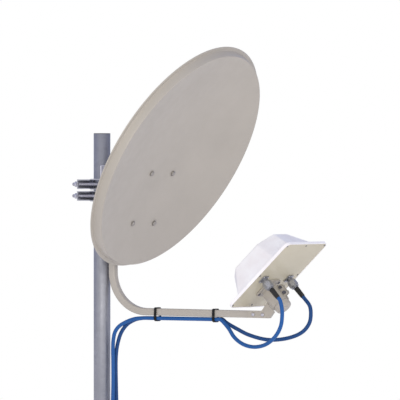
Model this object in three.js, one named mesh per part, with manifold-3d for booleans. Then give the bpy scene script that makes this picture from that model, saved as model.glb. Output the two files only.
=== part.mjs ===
// Offset dish antenna with a two-port feed, clamped to a stub mast.
// Units are millimetres. +Z is up, the dish looks towards -Y, X runs sideways.
// The origin is the centre of the mast's lower end.
// Side-view points are written [forward, up], where forward is distance along -Y.

import * as THREE from 'three';
import { mergeVertices } from 'three/addons/utils/BufferGeometryUtils.js';
import Module from 'manifold-3d';

const wasm = await Module();
wasm.setup();

// ---------------------------------------------------------------- driving dimensions

const GAP = 0.3;                       // clearance kept between touching pieces
const SHEET = 2.5;                     // thickness of folded steel

const MAST = { radius: 20, wall: 2, length: 850 };

const DISH = {
  halfWidth: 268.5,                    // rim ellipse, sideways
  halfHeight: 284,                     // rim ellipse, along its long axis
  lean: THREE.MathUtils.degToRad(30),
  forward: 225.5,
  up: 782.5,
  depth: 35,                           // deepest point behind the rim plane
  sheet: 1.5,
  wallDepth: 21,                       // rim wall, behind the rim plane
  wallFlare: 4.5,
  lip: 9.5,                            // flat lip outside the wall
};

const ARM = { size: 17, wall: 1.5, forward: 32.2, top: 670, bend: 95, centreUp: 424.7, end: 470 };
ARM.droop = THREE.MathUtils.degToRad(0.3);

const CLAMP_ROWS = [728, 700];         // heights of the two pairs of clamp bolts

// Fasteners: shank radius, width across flats, and heights of the head (or dome) and nut.
const CLAMP_BOLT = { x: 36, radius: 4, flats: 13, head: 5.3, nut: 8, flange: 8.5, tip: -60 };
const LOCK_BOLT = { radius: 4, flats: 13, head: 5.3, domeRadius: 8, dome: 4, nut: 8, flange: 8.5 };
const ARM_BOLT = { radius: 3, flats: 10, head: 4, nut: 5, tip: 8, ups: [655, 600] };
const HOLDER_SCREW = {
  radius: 2.5, flats: 8, domeRadius: 4.3, dome: 2.2, nut: 4, tip: 6, forwards: [432, 458],
};
const RING_SCREW = { radius: 2.5, flats: 8, head: 3.5, nut: 4, tip: 7, y: -28, alongs: [-25, -41] };
const PIVOT = [66, 746];               // elevation axis, in side view
const LOCK_RADIUS = 44;                // elevation lock bolts, from the pivot
const LOCK_ANGLE = THREE.MathUtils.degToRad(-115);
const TILT_RANGE = THREE.MathUtils.degToRad(20);

const FEED = {
  forward: 466,                        // where the neck's axis meets the back plate
  up: 487,
  tilt: THREE.MathUtils.degToRad(-43.1),
  centreY: -41,                        // plate centre, from the neck's axis
  width: 180,
  length: 216,
  corner: 14,
};
const NECK = { radius: 20, length: 70, flange: 54 };
const PORT = { x: 56, y: -30 };        // sockets, from the neck's axis
const CABLE_RADIUS = 4.6;
const CABLE_X = 4.9;                   // the two cables side by side under the arm

const PAINT = { color: 0xb9b2a8, roughness: 0.5, metalness: 0.1 };
const ZINC = { color: 0xb4b4bc, roughness: 0.35, metalness: 0.9 };
const GALVANISED = { color: 0x8e929c, roughness: 0.45, metalness: 0.8 };
const DARK_STEEL = { color: 0x66666e, roughness: 0.5, metalness: 0.7 };
const WHITE_PLASTIC = { color: 0xf2f0f4, roughness: 0.4, metalness: 0 };
const BEIGE_PLATE = { color: 0xbdb5a3, roughness: 0.55, metalness: 0.1 };
const NICKEL = { color: 0xa9a9a9, roughness: 0.3, metalness: 0.95 };
const BLACK = { color: 0x222322, roughness: 0.6, metalness: 0 };
const BLUE_JACKET = { color: 0x2c62ab, roughness: 0.4, metalness: 0 };
const BOARD = { color: 0xc8a060, roughness: 0.5, metalness: 0.3 };

// ---------------------------------------------------------------- solids

function toSolid(geometry) {
  geometry.deleteAttribute('normal');
  geometry.deleteAttribute('uv');
  const merged = mergeVertices(geometry, 1e-4);
  const vertProperties = new Float32Array(merged.attributes.position.array);
  const triVerts = new Uint32Array(merged.index.array);
  return new wasm.Manifold(new wasm.Mesh({ numProp: 3, vertProperties, triVerts }));
}

function toGeometry(solid) {
  const { vertProperties, triVerts } = solid.getMesh();
  const geometry = new THREE.BufferGeometry();
  geometry.setAttribute('position', new THREE.BufferAttribute(vertProperties, 3));
  geometry.setIndex(new THREE.BufferAttribute(triVerts, 1));
  geometry.computeVertexNormals();
  return geometry;
}

function join(...solids) {
  return solids.reduce((whole, piece) => whole.add(piece));
}

function cut(solid, ...tools) {
  return tools.reduce((rest, tool) => rest.subtract(tool), solid);
}

function block(x0, x1, y0, y1, z0, z1) {
  const box = new THREE.BoxGeometry(x1 - x0, y1 - y0, z1 - z0);
  box.translate((x0 + x1) / 2, (y0 + y1) / 2, (z0 + z1) / 2);
  return toSolid(box);
}

const at = (x, [forward, up]) => new THREE.Vector3(x, -forward, up);

// Turns a geometry made along +Y so that it starts at one point and aims at another.
function aim(geometry, from, to) {
  const direction = to.clone().sub(from).normalize();
  const turn = new THREE.Quaternion().setFromUnitVectors(new THREE.Vector3(0, 1, 0), direction);
  geometry.applyQuaternion(turn);
  geometry.translate(from.x, from.y, from.z);
  return toSolid(geometry);
}

function rod(radius, from, to, sides = 14, endRadius = radius) {
  const length = from.distanceTo(to);
  const cylinder = new THREE.CylinderGeometry(endRadius, radius, length, sides);
  cylinder.translate(0, length / 2, 0);
  return aim(cylinder, from, to);
}

// A turned piece: the profile is [radius, distance] pairs along the line of from to to.
function turned(profile, from, to, sides = 14) {
  const points = profile.map(([radius, distance]) => new THREE.Vector2(radius, distance));
  return aim(new THREE.LatheGeometry(points, sides), from, to);
}

const hexRadius = (acrossFlats) => acrossFlats / Math.sqrt(3);

function asShape(points) {
  return new THREE.Shape(points.map(([x, y]) => new THREE.Vector2(x, y)));
}

// A flat outline drawn in side view, as thick as the span from x0 to x1.
function sideSheet(shape, x0, x1, curveSegments = 4) {
  const geometry = new THREE.ExtrudeGeometry(shape, { depth: x1 - x0, bevelEnabled: false, curveSegments });
  const toSideView = new THREE.Matrix4().set(
    0, 0, -1, x1,
    -1, 0, 0, 0,
    0, 1, 0, 0,
    0, 0, 0, 1,
  );
  geometry.applyMatrix4(toSideView);
  return toSolid(geometry);
}

// A flat outline drawn in the XY plane, from z0 to z1.
function plate(shape, z0, z1, curveSegments = 3) {
  const geometry = new THREE.ExtrudeGeometry(shape, { depth: z1 - z0, bevelEnabled: false, curveSegments });
  geometry.translate(0, 0, z0);
  return toSolid(geometry);
}

function roundedRectangle(width, height, radius, centreX = 0, centreY = 0) {
  const right = centreX + width / 2 - radius;
  const left = centreX - width / 2 + radius;
  const top = centreY + height / 2 - radius;
  const bottom = centreY - height / 2 + radius;
  const shape = new THREE.Shape();
  shape.absarc(right, top, radius, 0, Math.PI / 2);
  shape.absarc(left, top, radius, Math.PI / 2, Math.PI);
  shape.absarc(left, bottom, radius, Math.PI, Math.PI * 1.5);
  shape.absarc(right, bottom, radius, Math.PI * 1.5, Math.PI * 2);
  return shape;
}

function mesh(name, solid, finish) {
  const piece = new THREE.Mesh(toGeometry(solid), new THREE.MeshStandardMaterial(finish));
  piece.name = name;
  return piece;
}

// ---------------------------------------------------------------- fasteners

// A bolt with a domed head: the head sits behind `from`, the shank runs to `to`.
function domedBolt(radius, headRadius, headHeight, from, to) {
  const length = from.distanceTo(to);
  const chamfer = radius * 0.2;
  return turned([
    [0, -headHeight],
    [headRadius * 0.55, -headHeight * 0.85],
    [headRadius, -headHeight * 0.25],
    [headRadius, 0],
    [radius, 0],
    [radius, length - chamfer],
    [radius - chamfer, length],
    [0, length],
  ], from, to);
}

function hexBolt(radius, acrossFlats, headHeight, from, to) {
  const back = from.clone().add(from.clone().sub(to).setLength(headHeight));
  return join(rod(hexRadius(acrossFlats), back, from, 6), rod(radius, back, to));
}

// A hexagonal nut, with a round flange on its `from` side when flangeRadius is given.
function nut(boltRadius, acrossFlats, from, to, flangeRadius = 0) {
  const hexagon = rod(hexRadius(acrossFlats), from, to, 6);
  const reach = to.clone().sub(from);
  const before = from.clone().sub(reach);
  const after = to.clone().add(reach);
  const flangeEnd = from.clone().addScaledVector(reach, 0.25);
  const body = flangeRadius ? join(hexagon, rod(flangeRadius, from, flangeEnd)) : hexagon;
  return cut(body, rod(boltRadius + GAP, before, after));
}

// ---------------------------------------------------------------- mast

function mastTube() {
  const bottom = new THREE.Vector3(0, 0, 0);
  const top = new THREE.Vector3(0, 0, MAST.length);
  const outside = rod(MAST.radius, bottom, top, 36);
  const over = 5;
  const inside = rod(
    MAST.radius - MAST.wall,
    new THREE.Vector3(0, 0, -over),
    new THREE.Vector3(0, 0, MAST.length + over),
    36,
  );
  return mesh('mast_tube', cut(outside, inside), GALVANISED);
}

// ---------------------------------------------------------------- mast clamp

const WEB_BACK = 26.5;                 // rear face of the mast bracket's web
const WEB_FRONT = WEB_BACK + 3;
const REAR_JAW = { webOuter: -43.5, lipEnd: -7.2, halfHeight: 11.5 };
const FRONT_JAW = { webOuter: WEB_BACK - GAP, lipEnd: -5.5, halfHeight: 13 };
const JAW_HALF_LENGTH = 43;
const NOTCH_ANGLE = THREE.MathUtils.degToRad(50);        // half the angle of the V
const NOTCH_APEX = (MAST.radius + GAP) / Math.sin(NOTCH_ANGLE);

// The toothed V that grips the mast, in plan. side is +1 for the front jaw, -1 for the rear.
function toothedNotch(side, deepest, shallowest) {
  const teeth = 5;
  const toothDepth = 1.4;
  const width = (depth) => (NOTCH_APEX - depth) * Math.tan(NOTCH_ANGLE);
  const edge = [];
  for (let i = 0; i <= teeth * 2; i += 1) {
    const depth = THREE.MathUtils.lerp(deepest, shallowest, i / (teeth * 2));
    const valley = i % 2 ? toothDepth : 0;
    edge.push([width(depth) + valley, -side * (depth + valley * 0.3)]);
  }
  const mirrored = edge.map(([x, y]) => [-x, y]).reverse();
  return asShape([...edge, ...mirrored]);
}

// A jaw is a channel lying sideways across the mast, open towards it.
function jaw(name, side, { webOuter, lipEnd, halfHeight }, up) {
  const inner = webOuter - side * SHEET;
  const channel = sideSheet(asShape([
    [webOuter, up - halfHeight],
    [lipEnd, up - halfHeight],
    [lipEnd, up - halfHeight + SHEET],
    [inner, up - halfHeight + SHEET],
    [inner, up + halfHeight - SHEET],
    [lipEnd, up + halfHeight - SHEET],
    [lipEnd, up + halfHeight],
    [webOuter, up + halfHeight],
  ]), -JAW_HALF_LENGTH, JAW_HALF_LENGTH);
  const deepest = side > 0 ? inner - GAP : NOTCH_APEX - 0.5;
  const shallowest = side * lipEnd - 1;
  const notch = plate(toothedNotch(side, deepest, shallowest), up - 20, up + 20);
  const holes = [-CLAMP_BOLT.x, CLAMP_BOLT.x].map((x) => (
    rod(CLAMP_BOLT.radius + GAP, at(x, [webOuter - 10, up]), at(x, [webOuter + 10, up]))
  ));
  return mesh(name, cut(channel, notch, ...holes), DARK_STEEL);
}

function clampFasteners(level, up) {
  const pieces = [];
  for (const [hand, x] of [['left', -CLAMP_BOLT.x], ['right', CLAMP_BOLT.x]]) {
    const head = at(x, [WEB_FRONT + GAP, up]);
    const tip = at(x, [CLAMP_BOLT.tip, up]);
    const bolt = hexBolt(CLAMP_BOLT.radius, CLAMP_BOLT.flats, CLAMP_BOLT.head, head, tip);
    const nutFront = REAR_JAW.webOuter - GAP;
    const flangedNut = nut(
      CLAMP_BOLT.radius,
      CLAMP_BOLT.flats,
      at(x, [nutFront, up]),
      at(x, [nutFront - CLAMP_BOLT.nut, up]),
      CLAMP_BOLT.flange,
    );
    pieces.push(mesh(`clamp_bolt_${level}_${hand}`, bolt, ZINC));
    pieces.push(mesh(`clamp_nut_${level}_${hand}`, flangedNut, ZINC));
  }
  return pieces;
}

// ---------------------------------------------------------------- mast bracket

const CHEEK = { x0: 24, x1: 26.5 };    // mast bracket's cheeks
const TONGUE = { x0: 20.5, x1: 23 };   // tilt bracket's cheeks, inside them

function cheekOutline() {
  const [pivotForward, pivotUp] = PIVOT;
  const crown = 20;
  const foot = 684;
  const corner = 8;
  const nose = pivotForward + crown;
  const shape = new THREE.Shape();
  shape.moveTo(WEB_BACK + 1, foot);
  shape.lineTo(nose - corner, foot);
  shape.absarc(nose - corner, foot + corner, corner, -Math.PI / 2, 0);
  shape.lineTo(nose, pivotUp);
  shape.absarc(pivotForward, pivotUp, crown, 0, Math.PI / 2);
  shape.lineTo(WEB_BACK + 1, pivotUp + crown);
  return shape;
}

// The curved slot that the elevation lock bolts slide in.
function lockSlot(halfWidth) {
  const [forward, up] = PIVOT;
  const start = LOCK_ANGLE - THREE.MathUtils.degToRad(1.5);
  const end = LOCK_ANGLE + TILT_RANGE + THREE.MathUtils.degToRad(1.5);
  const shape = new THREE.Shape();
  shape.absarc(forward, up, LOCK_RADIUS + halfWidth, start, end);
  shape.absarc(
    forward + LOCK_RADIUS * Math.cos(end),
    up + LOCK_RADIUS * Math.sin(end),
    halfWidth,
    end,
    end + Math.PI,
  );
  shape.absarc(forward, up, LOCK_RADIUS - halfWidth, end, start, true);
  shape.absarc(
    forward + LOCK_RADIUS * Math.cos(start),
    up + LOCK_RADIUS * Math.sin(start),
    halfWidth,
    start + Math.PI,
    start + Math.PI * 2,
  );
  return shape;
}

function mastBracket() {
  const low = 680;
  const high = 774;
  const halfWidth = 48;
  const webOutline = roundedRectangle(halfWidth * 2, high - low, 5, 0, (low + high) / 2);
  const webGeometry = new THREE.ExtrudeGeometry(webOutline, {
    depth: WEB_FRONT - WEB_BACK, bevelEnabled: false, curveSegments: 2,
  });
  webGeometry.rotateX(Math.PI / 2);
  webGeometry.translate(0, -WEB_BACK, 0);
  const web = toSolid(webGeometry);
  const cheeks = [[-CHEEK.x1, -CHEEK.x0], [CHEEK.x0, CHEEK.x1]].map(([x0, x1]) => (
    sideSheet(cheekOutline(), x0, x1)
  ));
  const reach = 60;
  const slot = sideSheet(lockSlot(4.6), -reach, reach);
  const pivotHole = rod(LOCK_BOLT.radius + GAP, at(-reach, PIVOT), at(reach, PIVOT));
  const boltHoles = CLAMP_ROWS.flatMap((up) => [-CLAMP_BOLT.x, CLAMP_BOLT.x].map((x) => (
    rod(CLAMP_BOLT.radius + GAP, at(x, [WEB_BACK - 5, up]), at(x, [WEB_FRONT + 5, up]))
  )));
  return mesh('mast_bracket', cut(join(web, ...cheeks), slot, pivotHole, ...boltHoles), GALVANISED);
}

// ---------------------------------------------------------------- reflector and its bracket

// high and low are distances along the rim ellipse's long axis.
const DISH_BOLT = {
  x: 46.4, high: -51.8, low: -181.6, radius: 3, domeRadius: 6, dome: 3.2, lift: 1.7, tip: 20,
  flats: 10, nut: 5, nutDrop: 10.5,
};

// Depth of the bowl behind the rim plane.
const bowlDepth = (x, along) => (
  DISH.depth * (1 - (x / DISH.halfWidth) ** 2 - (along / DISH.halfHeight) ** 2)
);

// Side-view place of a point given along the dish's long axis and behind its rim plane.
function onDish(along, behind) {
  const sin = Math.sin(DISH.lean);
  const cos = Math.cos(DISH.lean);
  return [DISH.forward + sin * along - cos * behind, DISH.up + cos * along + sin * behind];
}

const DISH_PROFILE = [
  [0, DISH.depth],
  [70, null],
  [130, null],
  [200, null],
  [245, null],
  [DISH.halfWidth - 1, null],
  [DISH.halfWidth + 0.8, 0.2],
  [DISH.halfWidth + DISH.wallFlare + 1.2, DISH.wallDepth - 1.5],
  [DISH.halfWidth + DISH.wallFlare + DISH.lip, DISH.wallDepth - 1.5],
  [DISH.halfWidth + DISH.wallFlare + DISH.lip + 1.5, DISH.wallDepth],
  [DISH.halfWidth + DISH.wallFlare + DISH.lip + 1.2, DISH.wallDepth + 0.8],
  [DISH.halfWidth + DISH.wallFlare + DISH.lip, DISH.wallDepth + 1.2],
  [DISH.halfWidth + DISH.wallFlare + DISH.lip - 2, DISH.wallDepth],
  [DISH.halfWidth + DISH.wallFlare - 0.6, DISH.wallDepth],
  [DISH.halfWidth - 1.2, 3.2],
];

// The reflector is turned as a round pan and then drawn out to an ellipse.
// Inside the rim the bowl stretches; outside it the wall and lip keep their width.
function reflectorGeometry() {
  const front = DISH_PROFILE.map(([radius, behind]) => (
    [radius, behind ?? bowlDepth(radius, 0)]
  ));
  const back = [245, 200, 130, 70, 0].map((radius) => [radius, bowlDepth(radius, 0) + DISH.sheet]);
  const points = [...front, ...back].reverse().map(([radius, behind]) => (
    new THREE.Vector2(radius, -behind)
  ));
  const pan = new THREE.LatheGeometry(points, 52);
  pan.rotateX(Math.PI / 2);
  const position = pan.attributes.position;
  for (let i = 0; i < position.count; i += 1) {
    const x = position.getX(i);
    const y = position.getY(i);
    const radius = Math.hypot(x, y);
    const cos = radius ? x / radius : 1;
    const sin = radius ? y / radius : 0;
    const inside = Math.min(radius, DISH.halfWidth) / DISH.halfWidth;
    const outside = Math.max(radius - DISH.halfWidth, 0);
    const normal = new THREE.Vector2(cos * DISH.halfHeight, sin * DISH.halfWidth).normalize();
    position.setX(i, cos * DISH.halfWidth * inside + normal.x * outside);
    position.setY(i, sin * DISH.halfHeight * inside + normal.y * outside);
  }
  return pan;
}

function dishHoles() {
  const holes = [];
  for (const along of [DISH_BOLT.high, DISH_BOLT.low]) {
    for (const x of [-DISH_BOLT.x, DISH_BOLT.x]) {
      const front = new THREE.Vector3(x, along, 10);
      const behind = new THREE.Vector3(x, along, -50);
      holes.push(rod(DISH_BOLT.radius + GAP, front, behind));
    }
  }
  return holes;
}

// Everything fixed square to the rim plane: its +Z is the way the dish faces.
function dishGroup() {
  const group = new THREE.Group();
  group.position.set(0, -DISH.forward, DISH.up);
  group.rotation.x = Math.PI / 2 + DISH.lean;
  group.add(mesh('reflector_dish', cut(toSolid(reflectorGeometry()), ...dishHoles()), PAINT));
  for (const [row, along] of [['upper', DISH_BOLT.high], ['lower', DISH_BOLT.low]]) {
    for (const [hand, x] of [['left', -DISH_BOLT.x], ['right', DISH_BOLT.x]]) {
      const surface = -bowlDepth(x, along);
      const point = (height) => new THREE.Vector3(x, along, surface + height);
      const head = point(DISH_BOLT.lift);
      const tip = point(-DISH_BOLT.tip);
      const nutFace = point(-DISH_BOLT.nutDrop);
      const nutBack = point(-DISH_BOLT.nutDrop - DISH_BOLT.nut);
      const bolt = domedBolt(DISH_BOLT.radius, DISH_BOLT.domeRadius, DISH_BOLT.dome, head, tip);
      const plainNut = nut(DISH_BOLT.radius, DISH_BOLT.flats, nutFace, nutBack);
      group.add(mesh(`dish_bolt_${row}_${hand}`, bolt, ZINC));
      group.add(mesh(`dish_nut_${row}_${hand}`, plainNut, ZINC));
    }
  }
  return group;
}

// The tilt bracket's plate lies behind the bowl, square to the line of its bolts.
const BACK_HIGH = onDish(DISH_BOLT.high, bowlDepth(DISH_BOLT.x, DISH_BOLT.high) + DISH.sheet);
const BACK_LOW = onDish(DISH_BOLT.low, bowlDepth(DISH_BOLT.x, DISH_BOLT.low) + DISH.sheet);
const BACK_MID = [(BACK_HIGH[0] + BACK_LOW[0]) / 2, (BACK_HIGH[1] + BACK_LOW[1]) / 2];
const BACK_ANGLE = Math.atan2(BACK_HIGH[0] - BACK_LOW[0], BACK_HIGH[1] - BACK_LOW[1]);
const PLATE_SETBACK = 3.6;             // clears the bulge of the bowl between the bolts
const PLATE_HALF = { x: 60, length: 83 };

// Side-view place of a point along the back plate and behind the bolt line.
function onBackPlate(along, behind) {
  const sin = Math.sin(BACK_ANGLE);
  const cos = Math.cos(BACK_ANGLE);
  return [BACK_MID[0] + sin * along - cos * behind, BACK_MID[1] + cos * along + sin * behind];
}

function tiltCheekOutline() {
  const lock = lockCentre();
  const [pivotForward, pivotUp] = PIVOT;
  const shape = new THREE.Shape();
  shape.moveTo(...onBackPlate(-60, PLATE_SETBACK + 1));
  shape.lineTo(...onBackPlate(76, PLATE_SETBACK + 1));
  shape.lineTo(pivotForward, pivotUp + 14);
  shape.absarc(pivotForward, pivotUp, 14, Math.PI / 2, Math.PI);
  shape.lineTo(lock[0] - 10, lock[1]);
  shape.absarc(lock[0], lock[1], 10, Math.PI, Math.PI * 1.5);
  return shape;
}

function lockCentre() {
  return [
    PIVOT[0] + LOCK_RADIUS * Math.cos(LOCK_ANGLE),
    PIVOT[1] + LOCK_RADIUS * Math.sin(LOCK_ANGLE),
  ];
}

// The gusset that holds the top of the feed arm against the back plate.
function armGussetOutline() {
  const rear = ARM.forward - ARM.size / 2 - 0.6;
  return asShape([
    [rear, 585],
    [ARM.forward + 14, 585],
    onBackPlate(-76, PLATE_SETBACK + 1),
    onBackPlate(-20, PLATE_SETBACK + 1),
    [60, 682],
    [rear, ARM.top + 1],
  ]);
}

function tiltBracket() {
  const { x, length } = PLATE_HALF;
  const thick = SHEET;
  const base = sideSheet(asShape([
    onBackPlate(-length, PLATE_SETBACK),
    onBackPlate(-length, PLATE_SETBACK + thick),
    onBackPlate(length, PLATE_SETBACK + thick),
    onBackPlate(length, PLATE_SETBACK),
  ]), -x, x);
  const boltAlong = Math.hypot(BACK_HIGH[0] - BACK_LOW[0], BACK_HIGH[1] - BACK_LOW[1]) / 2;
  const pads = [];
  const holes = [];
  for (const along of [-boltAlong, boltAlong]) {
    for (const side of [-DISH_BOLT.x, DISH_BOLT.x]) {
      const front = at(side, onBackPlate(along, 1.3));
      const inPlate = at(side, onBackPlate(along, PLATE_SETBACK + 1));
      pads.push(rod(9, front, inPlate, 16));
      holes.push(rod(4.2, at(side, onBackPlate(along, -10)), at(side, onBackPlate(along, 20)), 12));
    }
  }
  const ribX = ARM.size / 2 + GAP;
  const sheets = [-1, 1].flatMap((hand) => {
    const span = (a, b) => (hand > 0 ? [a, b] : [-b, -a]);
    return [
      sideSheet(tiltCheekOutline(), ...span(TONGUE.x0, TONGUE.x1)),
      sideSheet(armGussetOutline(), ...span(ribX, ribX + SHEET)),
    ];
  });
  const reach = 40;
  const lock = lockCentre();
  holes.push(rod(LOCK_BOLT.radius + GAP, at(-reach, PIVOT), at(reach, PIVOT)));
  holes.push(rod(LOCK_BOLT.radius + GAP, at(-reach, lock), at(reach, lock)));
  for (const up of ARM_BOLT.ups) {
    holes.push(rod(ARM_BOLT.radius + GAP, at(-reach, [ARM.forward, up]), at(reach, [ARM.forward, up])));
  }
  return mesh('tilt_bracket', cut(join(base, ...pads, ...sheets), ...holes), PAINT);
}

// Pivot bolt through all four cheeks, and a short lock bolt in each slot.
function tiltFasteners() {
  const outer = CHEEK.x1 + GAP;
  const pivot = join(
    hexBolt(LOCK_BOLT.radius, LOCK_BOLT.flats, LOCK_BOLT.head, at(-outer, PIVOT), at(outer + 12, PIVOT)),
    rod(hexRadius(LOCK_BOLT.flats), at(outer, PIVOT), at(outer + 6.5, PIVOT), 6),
  );
  const pieces = [mesh('pivot_bolt', pivot, ZINC)];
  for (const [hand, side] of [['left', -1], ['right', 1]]) {
    const lock = lockCentre();
    const inside = at(side * (TONGUE.x0 - GAP), lock);
    const tip = at(side * (outer + 11), lock);
    const lockNut = join(
      rod(hexRadius(LOCK_BOLT.flats), at(side * outer, lock), at(side * (outer + LOCK_BOLT.nut), lock), 6),
      rod(LOCK_BOLT.flange, at(side * outer, lock), at(side * (outer + 2), lock)),
    );
    const shank = domedBolt(LOCK_BOLT.radius, LOCK_BOLT.domeRadius, LOCK_BOLT.dome, inside, tip);
    const lockBolt = join(shank, lockNut);
    pieces.push(mesh(`elevation_lock_bolt_${hand}`, lockBolt, ZINC));
  }
  return pieces;
}

// ---------------------------------------------------------------- feed arm

// Centreline of the arm's long part, which droops slightly towards its end.
const armUp = (forward) => (
  ARM.centreUp - (forward - ARM.forward - ARM.bend) * Math.tan(ARM.droop)
);

// Side view of the arm: down from its top, round the bend, out to its end.
function armOutline(width, over) {
  const half = width / 2;
  const bendForward = ARM.forward + ARM.bend;
  const bendUp = ARM.centreUp + ARM.bend;
  const start = Math.PI;
  const finish = Math.PI * 1.5 - ARM.droop;
  const end = ARM.end + over;
  const shape = new THREE.Shape();
  shape.moveTo(ARM.forward + half, ARM.top + over);
  shape.lineTo(ARM.forward - half, ARM.top + over);
  shape.absarc(bendForward, bendUp, ARM.bend + half, start, finish);
  shape.lineTo(end, armUp(end) - half);
  shape.lineTo(end, armUp(end) + half);
  shape.absarc(bendForward, bendUp, ARM.bend - half, finish, start, true);
  return shape;
}

function feedArm() {
  const half = ARM.size / 2;
  const bore = half - ARM.wall;
  const outside = sideSheet(armOutline(ARM.size, 0), -half, half, 7);
  const inside = sideSheet(armOutline(bore * 2, 10), -bore, bore, 7);
  const reach = 20;
  const boltHoles = ARM_BOLT.ups.map((up) => (
    rod(ARM_BOLT.radius + GAP, at(-reach, [ARM.forward, up]), at(reach, [ARM.forward, up]))
  ));
  return mesh('feed_arm', cut(outside, inside, ...boltHoles, ...holderScrewHoles()), PAINT);
}

// Clearance holes for the holder's screws, right through the arm.
function holderScrewHoles() {
  const reach = 20;
  return HOLDER_SCREW.forwards.map((forward) => {
    const place = [forward, armUp(forward)];
    return rod(HOLDER_SCREW.radius + GAP, at(-reach, place), at(reach, place));
  });
}

function armBolts() {
  const { radius, flats, head, tip, ups } = ARM_BOLT;
  const outer = ARM.size / 2 + GAP + SHEET + GAP;
  return ups.map((up, i) => {
    const place = [ARM.forward, up];
    const bolt = hexBolt(radius, flats, head, at(-outer, place), at(outer + tip, place));
    const locknut = rod(hexRadius(flats), at(outer, place), at(outer + ARM_BOLT.nut, place), 6);
    return mesh(`arm_bolt_${i ? 'lower' : 'upper'}`, join(bolt, locknut), ZINC);
  });
}

// ---------------------------------------------------------------- feed holder

const HOLDER = { start: 417, root: 454, foot: 478, thick: 2.2, top: 29, end: 57.5, fold: 6.5 };
const RING = { near: 13, far: 53 };    // the clamp ring, along the neck from the plate

// Side-view place of a point given along the neck and up the plate from the neck's axis.
function onNeck(along, up) {
  const sin = Math.sin(-FEED.tilt);
  const cos = Math.cos(-FEED.tilt);
  return [FEED.forward + sin * along + cos * up, FEED.up - cos * along + sin * up];
}

// Steel plate on the arm's side, cut to meet the clamp ring, with its free end folded in.
function feedHolder() {
  const inner = ARM.size / 2 + GAP;
  const outer = inner + HOLDER.thick;
  const ringEdge = -(NECK.radius + 1.6);
  const onArm = (forward, offset) => [forward, armUp(forward) + offset];
  const half = ARM.size / 2 - GAP;
  const foot = onArm(HOLDER.foot, -half + 1);
  const tip = onNeck(HOLDER.end, ringEdge);
  const side = asShape([
    onArm(HOLDER.start, -half),
    foot,
    tip,
    onNeck(HOLDER.top, ringEdge),
    onArm(HOLDER.root, half),
    onArm(HOLDER.start, half),
  ]);
  const fold = asShape([foot, tip, [tip[0] - HOLDER.thick, tip[1]], [foot[0] - HOLDER.thick, foot[1]]]);
  const solid = join(sideSheet(side, -outer, -inner), sideSheet(fold, -outer, -outer + HOLDER.fold));
  return mesh('feed_holder', cut(solid, ...holderScrewHoles()), PAINT);
}

function holderScrews() {
  const { radius, flats, domeRadius, dome, tip, forwards } = HOLDER_SCREW;
  const head = ARM.size / 2 + GAP + HOLDER.thick + GAP;
  const back = ARM.size / 2 + GAP;
  return forwards.map((forward, i) => {
    const place = [forward, armUp(forward)];
    const screw = domedBolt(radius, domeRadius, dome, at(-head, place), at(back + tip, place));
    const locknut = rod(hexRadius(flats), at(back, place), at(back + HOLDER_SCREW.nut, place), 6);
    return mesh(`holder_screw_${i ? 'front' : 'rear'}`, join(screw, locknut), ZINC);
  });
}

// ---------------------------------------------------------------- feed

// The pieces round the neck: +Z is the way the radome faces, -Z runs down the neck.
function clampRing() {
  const inner = NECK.radius + GAP;
  const outer = inner + 2.7;
  const ear = { x: 2.5, thick: 2.5, reach: 33 };
  const ring = new THREE.Shape();
  ring.absarc(0, 0, outer, 0, Math.PI * 2);
  const bore = new THREE.Path();
  bore.absarc(0, 0, inner, 0, Math.PI * 2, true);
  ring.holes.push(bore);
  const band = plate(ring, -RING.far, -RING.near, 14);
  const ears = [-1, 1].map((hand) => {
    const a = hand * ear.x;
    const b = hand * (ear.x + ear.thick);
    return block(Math.min(a, b), Math.max(a, b), -ear.reach, -inner - 0.6, -48, -18);
  });
  const slit = block(-ear.x, ear.x, -ear.reach - 1, 0, -RING.far - 1, -RING.near + 1);
  const holes = RING_SCREW.alongs.map((z) => {
    const across = (x) => new THREE.Vector3(x, RING_SCREW.y, z);
    return rod(RING_SCREW.radius + GAP, across(-20), across(20), 12);
  });
  return mesh('neck_clamp_ring', cut(join(band, ...ears), slit, ...holes), PAINT);
}

function ringScrews() {
  const { radius, flats, head, tip, y, alongs } = RING_SCREW;
  const outer = 5 + GAP;
  return alongs.map((z, i) => {
    const across = (x) => new THREE.Vector3(x, y, z);
    const bolt = hexBolt(radius, flats, head, across(-outer), across(outer + tip));
    const locknut = rod(hexRadius(flats), across(outer), across(outer + RING_SCREW.nut), 6);
    const screw = join(bolt, locknut);
    return mesh(`ring_screw_${i ? 'lower' : 'upper'}`, screw, DARK_STEEL);
  });
}

function feedNeck() {
  const flange = plate(roundedRectangle(NECK.flange, NECK.flange, 9), -4 - GAP, -GAP);
  const axis = (z) => new THREE.Vector3(0, 0, z);
  const tube = turned([
    [0, 0],
    [NECK.radius, 0],
    [NECK.radius, NECK.length - 10],
    [NECK.radius - 2, NECK.length - 4],
    [NECK.radius - 7, NECK.length - 1],
    [0, NECK.length],
  ], axis(-GAP), axis(-NECK.length), 28);
  const hollow = rod(NECK.radius - 3, axis(5), axis(-NECK.length + 5), 20);
  return mesh('feed_neck', cut(join(flange, tube), hollow), PAINT);
}

function feedBackPlate() {
  const outline = roundedRectangle(FEED.width, FEED.length, FEED.corner, 0, FEED.centreY);
  return mesh('feed_back_plate', plate(outline, 0, 3), BEIGE_PLATE);
}

// The radome's eight-sided plan where it leaves its rim and where it is closed by the crown.
// half and endHalf are half-widths across X; the rest are distances up the plate from the neck.
const RADOME_FOOT = { half: 88, endHalf: 60, low: -52, shoulder: [-33, 100], high: 141, z: 5.5 };
const RADOME_CROWN = { half: 60.5, endHalf: 28.5, low: -38.5, shoulder: [-7.5, 74], high: 109.5, z: 69 };

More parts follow.
